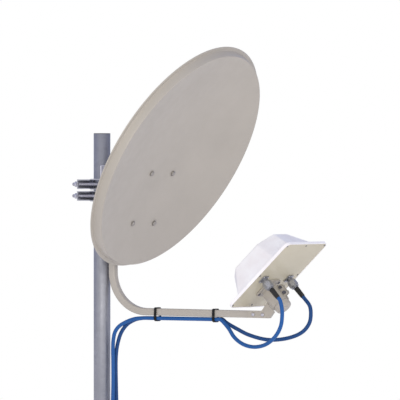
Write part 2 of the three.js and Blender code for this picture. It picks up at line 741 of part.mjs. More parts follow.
function octagon({ half, endHalf, low, shoulder, high, z }, inset, lift = 0) {
  const right = [
    [endHalf - inset * 0.4, low + inset],
    [half - inset, shoulder[0] + inset * 0.4],
    [half - inset, shoulder[1] - inset * 0.4],
    [endHalf - inset * 0.4, high - inset],
  ];
  return right.flatMap(([x, along]) => [[x, -along, z + lift], [-x, -along, z + lift]]);
}

function radome() {
  const seat = 3 + GAP;
  const wall = 2.5;
  const skin = 2;
  const rimOutline = roundedRectangle(
    FEED.width + 2 * (GAP + skin), FEED.length + 2 * (GAP + skin), FEED.corner + 2, 0, FEED.centreY,
  );
  const seatOutline = roundedRectangle(
    FEED.width + 2 * GAP, FEED.length + 2 * GAP, FEED.corner, 0, FEED.centreY,
  );
  const rim = cut(plate(rimOutline, -0.8, seat + 3), plate(seatOutline, -2, seat));
  const shell = wasm.Manifold.hull([
    ...octagon(RADOME_FOOT, 0),
    ...octagon(RADOME_CROWN, 0),
    ...octagon(RADOME_CROWN, 7, 3),
    ...octagon(RADOME_CROWN, 28, 5.5),
  ]);
  const hollow = wasm.Manifold.hull([
    ...octagon(RADOME_FOOT, wall, -wall),
    ...octagon(RADOME_CROWN, wall, -1),
    ...octagon(RADOME_CROWN, 7 + wall, 3 - wall),
    ...octagon(RADOME_CROWN, 28 + wall, 5.5 - wall),
  ]);
  return mesh('radome', cut(join(rim, shell), hollow), WHITE_PLASTIC);
}

// The radiating patches sit on a board held off the plate by four posts.
function radiatorBoard() {
  const centreY = FEED.centreY;
  const board = block(-62, 62, centreY - 60, centreY + 45, 14, 15.6);
  const posts = [-50, 50].flatMap((x) => [-50, 35].map((y) => (
    rod(3, new THREE.Vector3(x, centreY + y, 3 + GAP), new THREE.Vector3(x, centreY + y, 14.5), 12)
  )));
  const patches = [-24, 16].map((y) => (
    rod(16, new THREE.Vector3(0, centreY + y, 15), new THREE.Vector3(0, centreY + y, 19), 18)
  ));
  return mesh('radiator_board', join(board, ...posts, ...patches), BOARD);
}

// Square panel socket with a threaded barrel.
function socket(name, x) {
  const half = 11;
  const flange = plate(roundedRectangle(half * 2, half * 2, 2.5, x, PORT.y), -2.5 - GAP, -GAP, 3);
  const line = (z) => new THREE.Vector3(x, PORT.y, z);
  const barrel = rod(7.8, line(-GAP - 1), line(-12), 18);
  const screws = [-1, 1].flatMap((i) => [-1, 1].map((j) => {
    const head = (z) => new THREE.Vector3(x + i * (half - 3), PORT.y + j * (half - 3), z);
    return rod(2, head(-2), head(-4.2), 10);
  }));
  const bore = rod(3.5, line(-13), line(-5), 16);
  return mesh(name, cut(join(flange, barrel, ...screws), bore), NICKEL);
}

// ---------------------------------------------------------------- cable plugs

// Distances from the plug's mouth, the nut's size across flats, and radii.
const PLUG = {
  nut: 20, bodyEnd: 22, bootEnd: 50, flats: 20, collar: 9.9, mouth: 8.2, throat: 6.4, body: 6.1,
  boot: 6.3, bootTip: 5.6, seat: 9,
};

// A plug drawn with its mouth at the origin and its cable leaving along +Z.
// The boot is shrunk on: it is its own piece on the feed, and one with the body on a tail.
function plugPieces(suffix, isTail) {
  const z = (height) => new THREE.Vector3(0, 0, height);
  const hexagon = rod(hexRadius(PLUG.flats), z(2), z(PLUG.nut - 3), 6);
  const collar = rod(PLUG.collar, z(0), z(PLUG.nut), 18);
  const mouth = rod(PLUG.mouth, z(-1), z(15), 18);
  const throat = rod(PLUG.throat, z(-1), z(PLUG.nut + 1), 18);
  const couplingNut = mesh(`coupling_nut_${suffix}`, cut(join(hexagon, collar), mouth, throat), NICKEL);
  const body = rod(PLUG.body, z(3 + GAP), z(PLUG.bodyEnd), 18);
  const bootStart = isTail ? PLUG.bodyEnd - 0.5 : PLUG.bodyEnd + GAP;
  const boot = rod(PLUG.boot, z(bootStart), z(PLUG.bootEnd), 16, PLUG.bootTip);
  if (isTail) {
    return [couplingNut, mesh(`plug_body_${suffix}`, join(body, boot), BLACK)];
  }
  return [
    couplingNut,
    mesh(`plug_body_${suffix}`, body, NICKEL),
    mesh(`plug_boot_${suffix}`, boot, BLACK),
  ];
}

function feedGroup() {
  const group = new THREE.Group();
  group.position.set(0, -FEED.forward, FEED.up);
  group.rotation.x = FEED.tilt;
  group.add(clampRing(), ...ringScrews(), feedNeck(), feedBackPlate(), radome(), radiatorBoard());
  for (const [name, x] of [['near', -PORT.x], ['far', PORT.x]]) {
    group.add(socket(`panel_socket_${name}`, x));
    const plug = new THREE.Group();
    plug.position.set(x, PORT.y, -PLUG.seat);
    plug.rotation.x = Math.PI;
    plug.add(...plugPieces(`${name}_feed`, false));
    group.add(plug);
  }
  return group;
}

// ---------------------------------------------------------------- cables

const CABLE_UP = 409.6;                // centre of the cables where they run under the arm
const TIES = [158, 321];
const TIE_MARGIN = 6;                  // each cable is parted this far beyond its tie
const HANG_FORWARD = 36;
const TAIL_TIP = 38;                   // lowest point of the hanging plugs
const TAIL_X = 12;                     // leaves the two hanging coupling nuts room to turn

// Routes, [x, forward, up], from the plug on the feed to the first tie.
const LOOPS = {
  near: [
    [-55, 536.5, 446], [-52.5, 537, 427], [-47, 530, 399], [-39.5, 512, 375.5], [-29, 479, 354.5],
    [-20, 440, 347], [-13.2, 405, 353], [-8.2, 378.5, 368], [-5.5, 361, 388.5], [-4.9, 348, 401.5],
  ],
  far: [
    [54.5, 547.5, 443], [52, 552, 424.5], [48.5, 550, 403], [42.5, 536, 383], [34, 505, 368.5],
    [21, 454.5, 363], [10.8, 406.5, 374], [7, 381, 385.5], [4.9, 348, 402],
  ],
};

// From the last tie down to the hanging plug.
const DROPS = {
  near: [
    [-4.9, 119, 409.4], [-5, 96, 407], [-5.1, 73, 399.7], [-5.2, 52, 388.5], [-5.3, 40.5, 374.5],
    [-5.4, 35.8, 355], [-5.5, 34.8, 332], [-5.6, 35.2, 308],
    [-6.5, 36, 250], [-9, 36, 190], [-11.2, 36, 130],
  ],
  far: [
    [4.9, 112, 408.8], [5, 89.5, 404.3], [5.1, 66.5, 391.6], [5.2, 51, 372.5], [5.4, 42.8, 352],
    [5.5, 38.2, 332], [5.6, 36, 308], [6.5, 36, 250], [9, 36, 190], [11.2, 36, 130],
  ],
};

function cableTube(name, route, steps) {
  const points = route.map(([x, forward, up]) => new THREE.Vector3(x, -forward, up));
  const section = new THREE.Shape();
  section.absarc(0, 0, CABLE_RADIUS, 0, Math.PI * 2);
  const geometry = new THREE.ExtrudeGeometry(section, {
    steps,
    curveSegments: 5,
    extrudePath: new THREE.CatmullRomCurve3(points),
  });
  return mesh(name, toSolid(geometry), BLUE_JACKET);
}

function cables() {
  const pieces = [];
  for (const [name, hand] of [['near', -1], ['far', 1]]) {
    const mouth = (along) => {
      const [forward, up] = onNeck(PLUG.seat + along, -PORT.y);
      return [hand * PORT.x, forward, up];
    };
    const x = hand * CABLE_X;
    const runEnd = TIES[1] + TIE_MARGIN;
    const runStart = TIES[0] - TIE_MARGIN;
    const tailX = hand * TAIL_X;
    pieces.push(cableTube(`cable_${name}_loop`, [
      mouth(PLUG.bootEnd + GAP),
      mouth(PLUG.bootEnd + 6),
      ...LOOPS[name],
      [x, runEnd + 10, CABLE_UP],
      [x, runEnd + GAP, CABLE_UP],
    ], 18));
    pieces.push(cableTube(`cable_${name}_run`, [
      [x, runEnd, CABLE_UP],
      [x, runStart, CABLE_UP],
    ], 2));
    pieces.push(cableTube(`cable_${name}_drop`, [
      [x, runStart - GAP, CABLE_UP],
      [x, runStart - 10, CABLE_UP],
      ...DROPS[name],
      [tailX, HANG_FORWARD, TAIL_TIP + PLUG.bootEnd + 20],
      [tailX, HANG_FORWARD, TAIL_TIP + PLUG.bootEnd + GAP],
    ], 20));
    const tail = new THREE.Group();
    tail.position.set(tailX, -HANG_FORWARD, TAIL_TIP);
    tail.add(...plugPieces(`${name}_tail`, true));
    pieces.push(tail);
  }
  return pieces;
}

// A cable tie drawn round the arm and both cables.
function tieOutline(grow, forward) {
  const top = armUp(forward) + ARM.size / 2 + GAP + grow;
  const side = ARM.size / 2 + GAP + grow;
  const radius = CABLE_RADIUS + GAP + grow;
  const shape = new THREE.Shape();
  shape.moveTo(side, top);
  shape.lineTo(-side, top);
  shape.absarc(-CABLE_X, CABLE_UP, radius, Math.PI, Math.PI * 1.5);
  shape.absarc(CABLE_X, CABLE_UP, radius, Math.PI * 1.5, Math.PI * 2);
  return shape;
}

function cableTie(name, forward) {
  const width = 6.6;
  const thick = 2.2;
  const band = (grow, depth) => {
    const geometry = new THREE.ExtrudeGeometry(tieOutline(grow, forward), {
      depth, bevelEnabled: false, curveSegments: 3,
    });
    geometry.rotateX(Math.PI / 2);
    geometry.translate(0, -forward + depth / 2, 0);
    return toSolid(geometry);
  };
  const side = ARM.size / 2 + GAP;
  const head = block(
    side + 0.2, side + 6, -forward - 4.2, -forward + 4.2, armUp(forward) - 2, armUp(forward) + 4,
  );
  return mesh(name, cut(join(band(thick, width), head), band(0, width + 10)), BLACK);
}

// ---------------------------------------------------------------- assembly

const antenna = new THREE.Group();
antenna.add(mastTube());
CLAMP_ROWS.forEach((up, i) => {
  const level = i ? 'lower' : 'upper';
  antenna.add(jaw(`front_jaw_${level}`, 1, FRONT_JAW, up));
  antenna.add(jaw(`rear_jaw_${level}`, -1, REAR_JAW, up));
  antenna.add(...clampFasteners(level, up));
});
antenna.add(mastBracket(), tiltBracket(), ...tiltFasteners());
antenna.add(dishGroup());
antenna.add(feedArm(), ...armBolts(), feedHolder(), ...holderScrews());
antenna.add(feedGroup());
antenna.add(...cables());
TIES.forEach((forward, i) => antenna.add(cableTie(`cable_tie_${i ? 'front' : 'rear'}`, forward)));

export default antenna;
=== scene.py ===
"""Looks for an offset dish antenna: finer pieces, materials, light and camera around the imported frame."""
import math

import bmesh
import bpy
from mathutils import Matrix, Vector


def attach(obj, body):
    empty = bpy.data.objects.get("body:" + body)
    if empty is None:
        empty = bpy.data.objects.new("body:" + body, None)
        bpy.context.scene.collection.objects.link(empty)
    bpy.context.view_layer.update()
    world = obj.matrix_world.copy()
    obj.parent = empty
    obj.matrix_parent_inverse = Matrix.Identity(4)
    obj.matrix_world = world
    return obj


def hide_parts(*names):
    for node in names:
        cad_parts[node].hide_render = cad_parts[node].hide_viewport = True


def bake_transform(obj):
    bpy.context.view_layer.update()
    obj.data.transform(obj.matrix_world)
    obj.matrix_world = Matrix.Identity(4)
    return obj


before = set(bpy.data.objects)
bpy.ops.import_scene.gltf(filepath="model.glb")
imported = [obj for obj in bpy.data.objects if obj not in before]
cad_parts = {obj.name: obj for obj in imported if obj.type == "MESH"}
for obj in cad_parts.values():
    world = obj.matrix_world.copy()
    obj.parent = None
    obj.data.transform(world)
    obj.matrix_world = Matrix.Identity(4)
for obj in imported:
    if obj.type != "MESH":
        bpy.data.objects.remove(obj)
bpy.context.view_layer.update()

# Lengths below are in millimetres, in the part's own frame, and MM turns them into metres.
# Side-view points are (forward, up), where forward is distance along -Y.
MM = 0.001
GAP = 0.3                           # clearance between neighbouring parts

MAST = {"radius": 20, "wall": 2, "length": 850}
DISH = {
    "half_width": 268.5, "half_height": 284, "lean": math.radians(30), "forward": 225.5, "up": 782.5,
    "depth": 35, "sheet": 1.5, "wall_depth": 21, "wall_flare": 4.5, "lip": 9.5, "segments": 200,
}
DISH_BOLT = {
    "x": 46.4, "high": -51.8, "low": -181.6, "radius": 3, "dome_radius": 6, "dome": 3.2, "lift": 1.7,
    "tip": 20, "flats": 10, "nut": 4.6, "nut_drop": 15.5,
}
ARM = {
    "size": 17, "wall": 1.5, "corner": 2.6, "inner_corner": 1.3, "forward": 32.2, "top": 670, "bend": 95,
    "centre_up": 424.7, "end": 470, "droop": math.radians(0.3),
}
ARM_BOLT = {"radius": 3, "head": 10, "reach": 8, "ups": (655, 600)}
HOLDER_SCREW = {"radius": 2.5, "head": 8.6, "reach": 6, "forwards": (432, 458)}
BRACKET_SHEET = 2.5
HOLDER_SHEET = 2.2
CLAMP_ROWS = {"upper": 728, "lower": 700}
CLAMP_BOLT = {"x": 36, "radius": 4, "flats": 13, "head": 5.3, "tip": -60, "nut": 8}
WEB_FRONT = 29.5
REAR_WEB = -43.5
PIVOT = (66, 746)
PIVOT_BOLT = {"radius": 4, "head": 13, "reach": 12}
LOCK = {"radius": 44, "angle": math.radians(-115)}
LOCK_BOLT = {"radius": 4, "head": 13, "reach": 11}
CHEEK_OUTER = 26.5
TONGUE_INNER = 20.5
FEED = {
    "forward": 466, "up": 487, "tilt": math.radians(-43.1), "centre_y": -41, "width": 180, "length": 216,
    "corner": 14, "plate": 3, "screw_inset": 6,
}
NECK = {"radius": 20, "length": 70, "flange": 54, "flange_top": -4.3, "flange_corner": 9, "screw": 20}
RING = {
    "near": 13, "far": 53, "wall": 3, "half_slit": 2.5, "lug_outer": 5, "lug_width": 30, "lug_height": 13,
    "lug_along": -33, "lug_y": -26.5, "lug_corner": 3,
}
RING_SCREW = {
    "alongs": (-25, -41), "y": -28, "from_x": -5.3, "to_x": 12.3, "radius": 2.5, "flats": 8, "head": 3.5,
    "nut_low": 10.6, "nut_high": 14.6, "pitch": 0.8,
}
PORT = {"x": 56, "y": -30}
SOCKET = {"size": 22, "corner": 2.5, "face": -2.8, "screw": 8, "pitch": 1.0, "turns": 9}
PLUG = {"nut": 20, "nut_flats": 20, "body_end": 22, "boot_end": 50, "boot_ribs": 7}
PLUG_SEAT = -9
CABLE = {"radius": 4.6, "x": 4.9, "up": 409.6, "hang": 36, "tail_x": 12, "tip": 38}
TIES = {"rear": 158, "front": 321}
TIE = {"width": 6.6, "inner": 0.05, "edge": 1.9, "outer": 2.3, "bevel": 0.8, "corner": 1.2}
TIE_MARGIN = 6                      # the cable is parted this far beyond each tie
HANDS = {"left": -1, "right": 1}
SIDES = {"near": -1, "far": 1}


def at(x, forward, up):
    """The point this far sideways, forward and up."""
    return Vector((x, -forward, up))


# -------- camera

# Far off, with a long lens, so the view is almost parallel. Distance and height are in metres.
VIEW_AZIMUTH = math.radians(-56.6)
VIEW_DISTANCE = 11.976
CAMERA_HEIGHT = 0.762
CAMERA_REACH = 100
LENS = 450
SENSOR = 36
AIM_ALONG, AIM_RIGHT, AIM_UP = 5000, 97.97, -30     # how far the aim goes each way


def add_camera():
    forward = Vector((-math.sin(VIEW_AZIMUTH), math.cos(VIEW_AZIMUTH), 0))
    right = Vector((math.cos(VIEW_AZIMUTH), math.sin(VIEW_AZIMUTH), 0))
    data = bpy.data.cameras.new("camera")
    data.lens = LENS
    data.sensor_width = SENSOR
    data.clip_end = CAMERA_REACH
    camera = bpy.data.objects.new("camera", data)
    camera.location = -forward * VIEW_DISTANCE + Vector((0, 0, CAMERA_HEIGHT))
    aim = forward * AIM_ALONG + right * AIM_RIGHT + Vector((0, 0, AIM_UP))
    camera.rotation_euler = aim.to_track_quat("-Z", "Y").to_euler()
    bpy.context.scene.collection.objects.link(camera)
    bpy.context.scene.camera = camera


# -------- materials

EDGE_RADIUS = 0.0007                # how far wear reaches in from an edge, in metres
TOP_SHADE_DEPTHS = (0.0022, 0.0012)      # where the painted shade along the mast's top end starts and is full, below its top


def add_node(tree, kind, **values):
    """A new node, with values for some of its inputs."""
    node = tree.nodes.new("ShaderNode" + kind)
    for key, value in values.items():
        node.inputs[key.replace("_", " ")].default_value = value
    return node


class Shader:
    """A small helper that adds nodes to one material."""

    def __init__(self, name):
        self.material = bpy.data.materials.new(name)
        self.material.use_nodes = True
        self.tree = self.material.node_tree
        self.shader = self.tree.nodes["Principled BSDF"]
        self.coords = add_node(self.tree, "TexCoord").outputs["Object"]

    def link(self, source, target):
        self.tree.links.new(source, target)

    def stretched(self, scale):
        mapping = add_node(self.tree, "Mapping", Scale=scale)
        self.link(self.coords, mapping.inputs["Vector"])
        return mapping.outputs["Vector"]

    def noise(self, scale, detail=3.0, roughness=0.55, vector=None):
        node = add_node(self.tree, "TexNoise", Scale=scale, Detail=detail, Roughness=roughness)
        self.link(vector or self.coords, node.inputs["Vector"])
        return node.outputs["Fac"]

    def cells(self, scale):
        """A different grey for each cell of a crystal pattern."""
        node = add_node(self.tree, "TexVoronoi", Scale=scale)
        self.link(self.coords, node.inputs["Vector"])
        grey = add_node(self.tree, "SeparateColor")
        self.link(node.outputs["Color"], grey.inputs["Color"])
        return grey.outputs["Red"]

    def remap(self, source, low, high, start=0.3, stop=0.7):
        """Stretches the span from start to stop over the span from low to high."""
        node = add_node(self.tree, "MapRange", From_Min=start, From_Max=stop, To_Min=low, To_Max=high)
        self.link(source, node.inputs["Value"])
        return node.outputs["Result"]

    def blend(self, factor, first, second):
        node = add_node(self.tree, "Mix")
        node.data_type = "RGBA"
        self.link(factor, node.inputs["Factor"])
        for socket, value in ((node.inputs["A"], first), (node.inputs["B"], second)):
            if isinstance(value, tuple):
                socket.default_value = (*value, 1)
            else:
                self.link(value, socket)
        return node.outputs["Result"]

    def bump(self, height, strength, distance):
        node = add_node(self.tree, "Bump", Strength=strength, Distance=distance)
        self.link(height, node.inputs["Height"])
        self.link(node.outputs["Normal"], self.shader.inputs["Normal"])

    def edges(self, strength=0.8):
        """How much a point lies on an outer or inner edge, from 0 to 1, broken up by noise."""
        rounded = add_node(self.tree, "Bevel", Radius=EDGE_RADIUS)
        rounded.samples = 4
        geometry = add_node(self.tree, "NewGeometry")
        compare = add_node(self.tree, "VectorMath")
        compare.operation = "DOT_PRODUCT"
        self.link(rounded.outputs["Normal"], compare.inputs[0])
        self.link(geometry.outputs["Normal"], compare.inputs[1])
        edge = self.remap(compare.outputs["Value"], 0, 1, 0.995, 0.85)
        broken = self.remap(self.noise(420, 3), 0.2 * strength, strength, 0.35, 0.65)
        product = add_node(self.tree, "Math")
        product.operation = "MULTIPLY"
        self.link(edge, product.inputs[0])
        self.link(broken, product.inputs[1])
        return product.outputs["Value"]

    def set(self, **values):
        for key, value in values.items():
            self.shader.inputs[key.replace("_", " ")].default_value = value


def shade(color, factor):
    return tuple(min(channel * factor, 1) for channel in color)


def powder_coat(name, color, roughness=0.45):
    """Sprayed paint: a fine orange peel, soft mottling and a little dust."""
    s = Shader(name)
    mottled = s.blend(s.remap(s.noise(7, 4), 0, 1), shade(color, 0.96), shade(color, 1.04))
    speckled = s.blend(s.remap(s.noise(1600, 2), 0, 0.35, 0.5, 0.75), mottled, shade(color, 0.86))
    tinted = s.blend(s.edges(strength=0.5), speckled, shade(color, 1.25))
    s.link(tinted, s.shader.inputs["Base Color"])
    s.link(s.remap(s.noise(45, 4), roughness - 0.06, roughness + 0.1), s.shader.inputs["Roughness"])
    s.bump(s.noise(520, 2), 0.22, 0.00025)
    s.set(Specular_IOR_Level=0.5, Coat_Weight=0.25, Coat_Roughness=0.22)
    return s.material


def galvanised(name, color, metallic, roughness, cell, shaded_top_height=None):
    """Hot-dipped zinc: faint crystals, runs down the piece, dull patches and brighter edges."""
    s = Shader(name)
    crystals = s.remap(s.cells(cell), 0, 1, 0, 1)
    base = s.blend(crystals, shade(color, 0.95), shade(color, 1.05))
    runs = s.noise(60, 4, vector=s.stretched((1, 1, 0.08)))
    streaked = s.blend(s.remap(runs, 0, 0.4, 0.45, 0.8), base, shade(color, 0.8))
    tinted = s.blend(s.edges(), streaked, shade(color, 1.35))
    # Painted shade: the top end is darkened to stand in for the shade at the mast's rim.
    if shaded_top_height:
        height = add_node(s.tree, "SeparateXYZ")
        s.link(s.coords, height.inputs["Vector"])
        start, full = (shaded_top_height - depth for depth in TOP_SHADE_DEPTHS)
        top_shade = s.remap(height.outputs["Z"], 0, 1, start, full)
        tinted = s.blend(top_shade, tinted, shade(color, 0.3))
    s.link(tinted, s.shader.inputs["Base Color"])
    s.link(s.remap(s.noise(30, 5), roughness - 0.08, roughness + 0.14), s.shader.inputs["Roughness"])
    s.bump(s.noise(260, 4), 0.18, 0.0003)
    s.set(Metallic=metallic)
    return s.material


def plated(name, color, roughness=0.3, metallic=1.0):
    """Bright plating on turned steel: fine tool marks and small dull spots."""
    s = Shader(name)
    dull = s.remap(s.noise(380, 3), 0, 1, 0.42, 0.72)
    s.link(s.blend(dull, color, shade(color, 0.7)), s.shader.inputs["Base Color"])
    s.link(s.remap(s.noise(240, 4), roughness - 0.08, roughness + 0.16), s.shader.inputs["Roughness"])
    s.bump(s.noise(1800, 2), 0.12, 0.0001)
    s.set(Metallic=metallic)
    return s.material


def moulded(name, color, roughness, grain=900, strength=0.3, specular=0.5):
    """Moulded plastic or rubber: a fine grain and faint flow marks."""
    s = Shader(name)
    marks = s.remap(s.noise(24, 4), 0, 1, 0.35, 0.65)
    s.link(s.blend(marks, shade(color, 0.95), shade(color, 1.05)), s.shader.inputs["Base Color"])
    s.link(s.remap(s.noise(110, 3), roughness - 0.06, roughness + 0.08), s.shader.inputs["Roughness"])
    s.bump(s.noise(grain, 2), strength, 0.00015)
    s.set(Specular_IOR_Level=specular)
    return s.material


def cable_jacket(name, color):
    """Smooth jacket: slight waviness from the braid below, scuffs and a soft sheen."""
    s = Shader(name)
    scuffs = s.remap(s.noise(160, 5, 0.7), 0, 0.4, 0.55, 0.8)
    base = s.blend(s.remap(s.noise(12, 2), 0, 1), shade(color, 0.93), shade(color, 1.07))
    s.link(s.blend(scuffs, base, shade(color, 1.25)), s.shader.inputs["Base Color"])
    s.link(s.remap(s.noise(90, 3), 0.42, 0.58), s.shader.inputs["Roughness"])
    s.bump(s.cells(900), 0.06, 0.0001)
    s.set(Specular_IOR_Level=0.2)
    return s.material


GREIGE = powder_coat("greige_powder_coat", (0.455, 0.423, 0.366))
BEIGE = powder_coat("beige_powder_coat", (0.6, 0.555, 0.415), 0.5)
# The mast's zinc darkens its top end as painted shade.
MAST_ZINC = galvanised(
    "mast_galvanised", (0.31, 0.32, 0.355), metallic=0.6, roughness=0.38, cell=95,
    shaded_top_height=MAST["length"] * MM,
)
BRACKET_ZINC = galvanised("bracket_galvanised", (0.74, 0.74, 0.79), metallic=0.2, roughness=0.5, cell=140)
JAW_STEEL = galvanised("jaw_zinc", (0.44, 0.45, 0.49), metallic=0.15, roughness=0.48, cell=160)
ZINC = plated("bright_zinc", (0.62, 0.62, 0.68), roughness=0.38, metallic=0.85)
DULL_ZINC = plated("dull_zinc", (0.42, 0.4, 0.37), roughness=0.5, metallic=0.6)
NICKEL = plated("nickel", (0.42, 0.43, 0.46), roughness=0.34, metallic=0.9)
BRASS = plated("gilt_contact", (0.75, 0.55, 0.2), roughness=0.25)
DARK_ZINC = plated("dark_zinc", (0.16, 0.16, 0.18), roughness=0.4)
RADOME_WHITE = moulded("radome_white", (0.99, 0.965, 0.965), roughness=0.45, grain=700, strength=0.12)
RUBBER = moulded(
    "black_rubber", (0.018, 0.018, 0.018), roughness=0.55, grain=1500, strength=0.4, specular=0.4,
)
NYLON = moulded(
    "black_nylon", (0.009, 0.009, 0.009), roughness=0.45, grain=1100, strength=0.25, specular=0.2,
)
# The far jumper's darker blue is a shaded copy of the near one's: painted shade, the two jackets being alike.
NEAR_BLUE = cable_jacket("cable_blue_near", (0.02, 0.105, 0.33))
FAR_BLUE_SHADED = cable_jacket("cable_blue_far_shaded", (0.016, 0.068, 0.215))
LAMINATE = moulded("board_laminate", (0.42, 0.3, 0.09), roughness=0.4)
COPPER = plated("board_copper", (0.75, 0.38, 0.2))


# -------- mesh helpers

def along_line(start, end):
    """Places something made along +Z so that it starts at one point and aims at another."""
    turn = (end - start).to_track_quat("Z", "Y").to_matrix().to_4x4()
    return Matrix.Translation(start) @ turn


def add_rings(bm, rings, closed=False):
    """Skins a list of vertex rings; a ring of one vertex closes an end to a point."""
    made = [[bm.verts.new(v) for v in ring] for ring in rings]
    pairs = list(zip(made, made[1:]))
    if closed:
        pairs.append((made[-1], made[0]))
    for a, b in pairs:
        count = max(len(a), len(b))
        for i in range(count):
            j = (i + 1) % count
            corners = [a[i % len(a)], a[j % len(a)], b[j % len(b)], b[i % len(b)]]
            face = list(dict.fromkeys(corners))
            if len(face) > 2:
                bm.faces.new(face)
    if not closed:
        for ring in (made[0], made[-1]):
            if len(ring) > 2:
                bm.faces.new(ring)
    return bm


def lathe(bm, profile, place=Matrix.Identity(4), segments=32, closed=False):
    """Turns (radius, height) points about the local Z axis."""
    rings = []
    for radius, height in profile:
        if radius == 0:
            rings.append([place @ Vector((0, 0, height))])
            continue
        steps = [2 * math.pi * i / segments for i in range(segments)]
        rings.append([place @ Vector((radius * math.cos(a), radius * math.sin(a), height)) for a in steps])
    return add_rings(bm, rings, closed)


def prism(bm, outline, low, high, place=Matrix.Identity(4)):
    """A straight prism on a flat outline in the local XY plane."""
    rings = [[place @ Vector((x, y, z)) for x, y in outline] for z in (low, high)]
    return add_rings(bm, rings)


def box(bm, x0, x1, y0, y1, z0, z1, place=Matrix.Identity(4)):
    """A plain block, for small parts whose edges are bevelled later."""
    return prism(bm, [(x0, y0), (x1, y0), (x1, y1), (x0, y1)], z0, z1, place)


def arc(cx, cy, radius, start, stop, steps):
    """Points along an arc between two angles in degrees."""
    angles = [math.radians(start + (stop - start) * i / steps) for i in range(steps + 1)]
    return [(cx + radius * math.cos(a), cy + radius * math.sin(a)) for a in angles]


def rounded_outline(width, height, corner, cx=0, cy=0, steps=8):
    """A rectangle with rounded corners."""
    right, left = cx + width / 2 - corner, cx - width / 2 + corner
    top, bottom = cy + height / 2 - corner, cy - height / 2 + corner
    centres = [(right, top), (left, top), (left, bottom), (right, bottom)]
    outline = []
    for turn, (x, y) in enumerate(centres):
        outline += arc(x, y, corner, 90 * turn, 90 * (turn + 1), steps)
    return outline


def piece(name, bm, material, body, nodes=(), bevel=0.0, segments=2, sharp=35):
    """Turns finished mesh data, in millimetres, into a piece that rides on a body."""
    bmesh.ops.recalc_face_normals(bm, faces=bm.faces)
    bmesh.ops.scale(bm, vec=(MM, MM, MM), verts=bm.verts)
    mesh = bpy.data.meshes.new(name)
    bm.to_mesh(mesh)
    bm.free()
    mesh.materials.append(material)
    mesh.polygons.foreach_set("use_smooth", [True] * len(mesh.polygons))
    mesh.set_sharp_from_angle(angle=math.radians(sharp))
    obj = bpy.data.objects.new(name, mesh)
    bpy.context.scene.collection.objects.link(obj)
    if bevel:
        modifier = obj.modifiers.new("edges", "BEVEL")
        modifier.width = bevel * MM
        modifier.segments = segments
        modifier.limit_method = "ANGLE"
        modifier.angle_limit = math.radians(sharp)
        modifier.harden_normals = True
    if body:
        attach(obj, body)
    if nodes:
        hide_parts(*nodes)
    return obj


def softened(node, material, body, bevel=0.35):
    """The CAD node's own shape, with its edges rounded over."""
    bm = bmesh.new()
    bm.from_mesh(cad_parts[node].data)
    bmesh.ops.remove_doubles(bm, verts=bm.verts, dist=1e-6)
    bmesh.ops.dissolve_limit(
        bm, angle_limit=math.radians(1), verts=bm.verts, edges=bm.edges, use_dissolve_boundaries=False,
    )
    bmesh.ops.scale(bm, vec=(1 / MM, 1 / MM, 1 / MM), verts=bm.verts)
    return piece(f"{node}_look", bm, material, body, [node], bevel=bevel, sharp=30)


# -------- cords

def centripetal(points, per_span):
    """The smooth curve through the points that the plain cable solids follow."""
    points = [Vector(p) for p in points]
    padded = [points[0] * 2 - points[1], *points, points[-1] * 2 - points[-2]]
    curve = []
    for i in range(1, len(padded) - 2):
        p0, p1, p2, p3 = padded[i - 1:i + 3]
        t1, t2, t3 = ((b - a).length ** 0.5 for a, b in ((p0, p1), (p1, p2), (p2, p3)))
        m1 = ((p1 - p0) / t1 - (p2 - p0) / (t1 + t2) + (p2 - p1) / t2) * t2
        m2 = ((p2 - p1) / t2 - (p3 - p1) / (t2 + t3) + (p3 - p2) / t3) * t2
        for k in range(per_span):
            t = k / per_span
            curve.append(
                p1 * (2 * t ** 3 - 3 * t ** 2 + 1) + m1 * (t ** 3 - 2 * t ** 2 + t)
                + p2 * (3 * t ** 2 - 2 * t ** 3) + m2 * (t ** 3 - t ** 2)
            )
    return [*curve, points[-1]]


def tube(bm, path, radius, sides=20):
    """A round tube along a path, turned as little as possible from step to step."""
    tangents = [(b - a).normalized() for a, b in zip(path, path[1:])]
    tangents = [tangents[0], *[(a + b).normalized() for a, b in zip(tangents, tangents[1:])], tangents[-1]]
    side = tangents[0].orthogonal().normalized()
    rings = []
    for point, tangent in zip(path, tangents):
        side = (side - tangent * side.dot(tangent)).normalized()
        other = tangent.cross(side)
        steps = [2 * math.pi * i / sides for i in range(sides)]
        rings.append([point + (side * math.cos(a) + other * math.sin(a)) * radius for a in steps])
    return add_rings(bm, rings)


FEED_PLACE = Matrix.Translation(at(0, FEED["forward"], FEED["up"])) @ Matrix.Rotation(FEED["tilt"], 4, "X")
HALF_TURN = Matrix.Rotation(math.pi, 4, "X")        # swaps the up and down ends of something made along Z


def port_point(side, along):
    """A point on the line of a feed plug, that far along the neck from the back plate."""
    return FEED_PLACE @ Vector((SIDES[side] * PORT["x"], PORT["y"], -along))


LOOPS = {
    "near": [
        (-55, 536.5, 446), (-52.5, 537, 427), (-47, 530, 399), (-39.5, 512, 375.5), (-29, 479, 354.5),
        (-20, 440, 347), (-13.2, 405, 353), (-8.2, 378.5, 368), (-5.5, 361, 388.5), (-4.9, 348, 401.5),
    ],
    "far": [
        (54.5, 547.5, 443), (52, 552, 424.5), (48.5, 550, 403), (42.5, 536, 383), (34, 505, 368.5),
        (21, 454.5, 363), (10.8, 406.5, 374), (7, 381, 385.5), (4.9, 348, 402),
    ],
}
DROPS = {
    "near": [
        (-4.9, 119, 409.4), (-5, 96, 407), (-5.1, 73, 399.7), (-5.2, 52, 388.5), (-5.3, 40.5, 374.5),
        (-5.4, 35.8, 355), (-5.5, 34.8, 332), (-5.6, 35.2, 308),
        (-6.5, 36, 250), (-9, 36, 190), (-11.2, 36, 130),
    ],
    "far": [
        (4.9, 112, 408.8), (5, 89.5, 404.3), (5.1, 66.5, 391.6), (5.2, 51, 372.5), (5.4, 42.8, 352),
        (5.5, 38.2, 332), (5.6, 36, 308), (6.5, 36, 250), (9, 36, 190), (11.2, 36, 130),
    ],
}
PATH_STEPS = 8


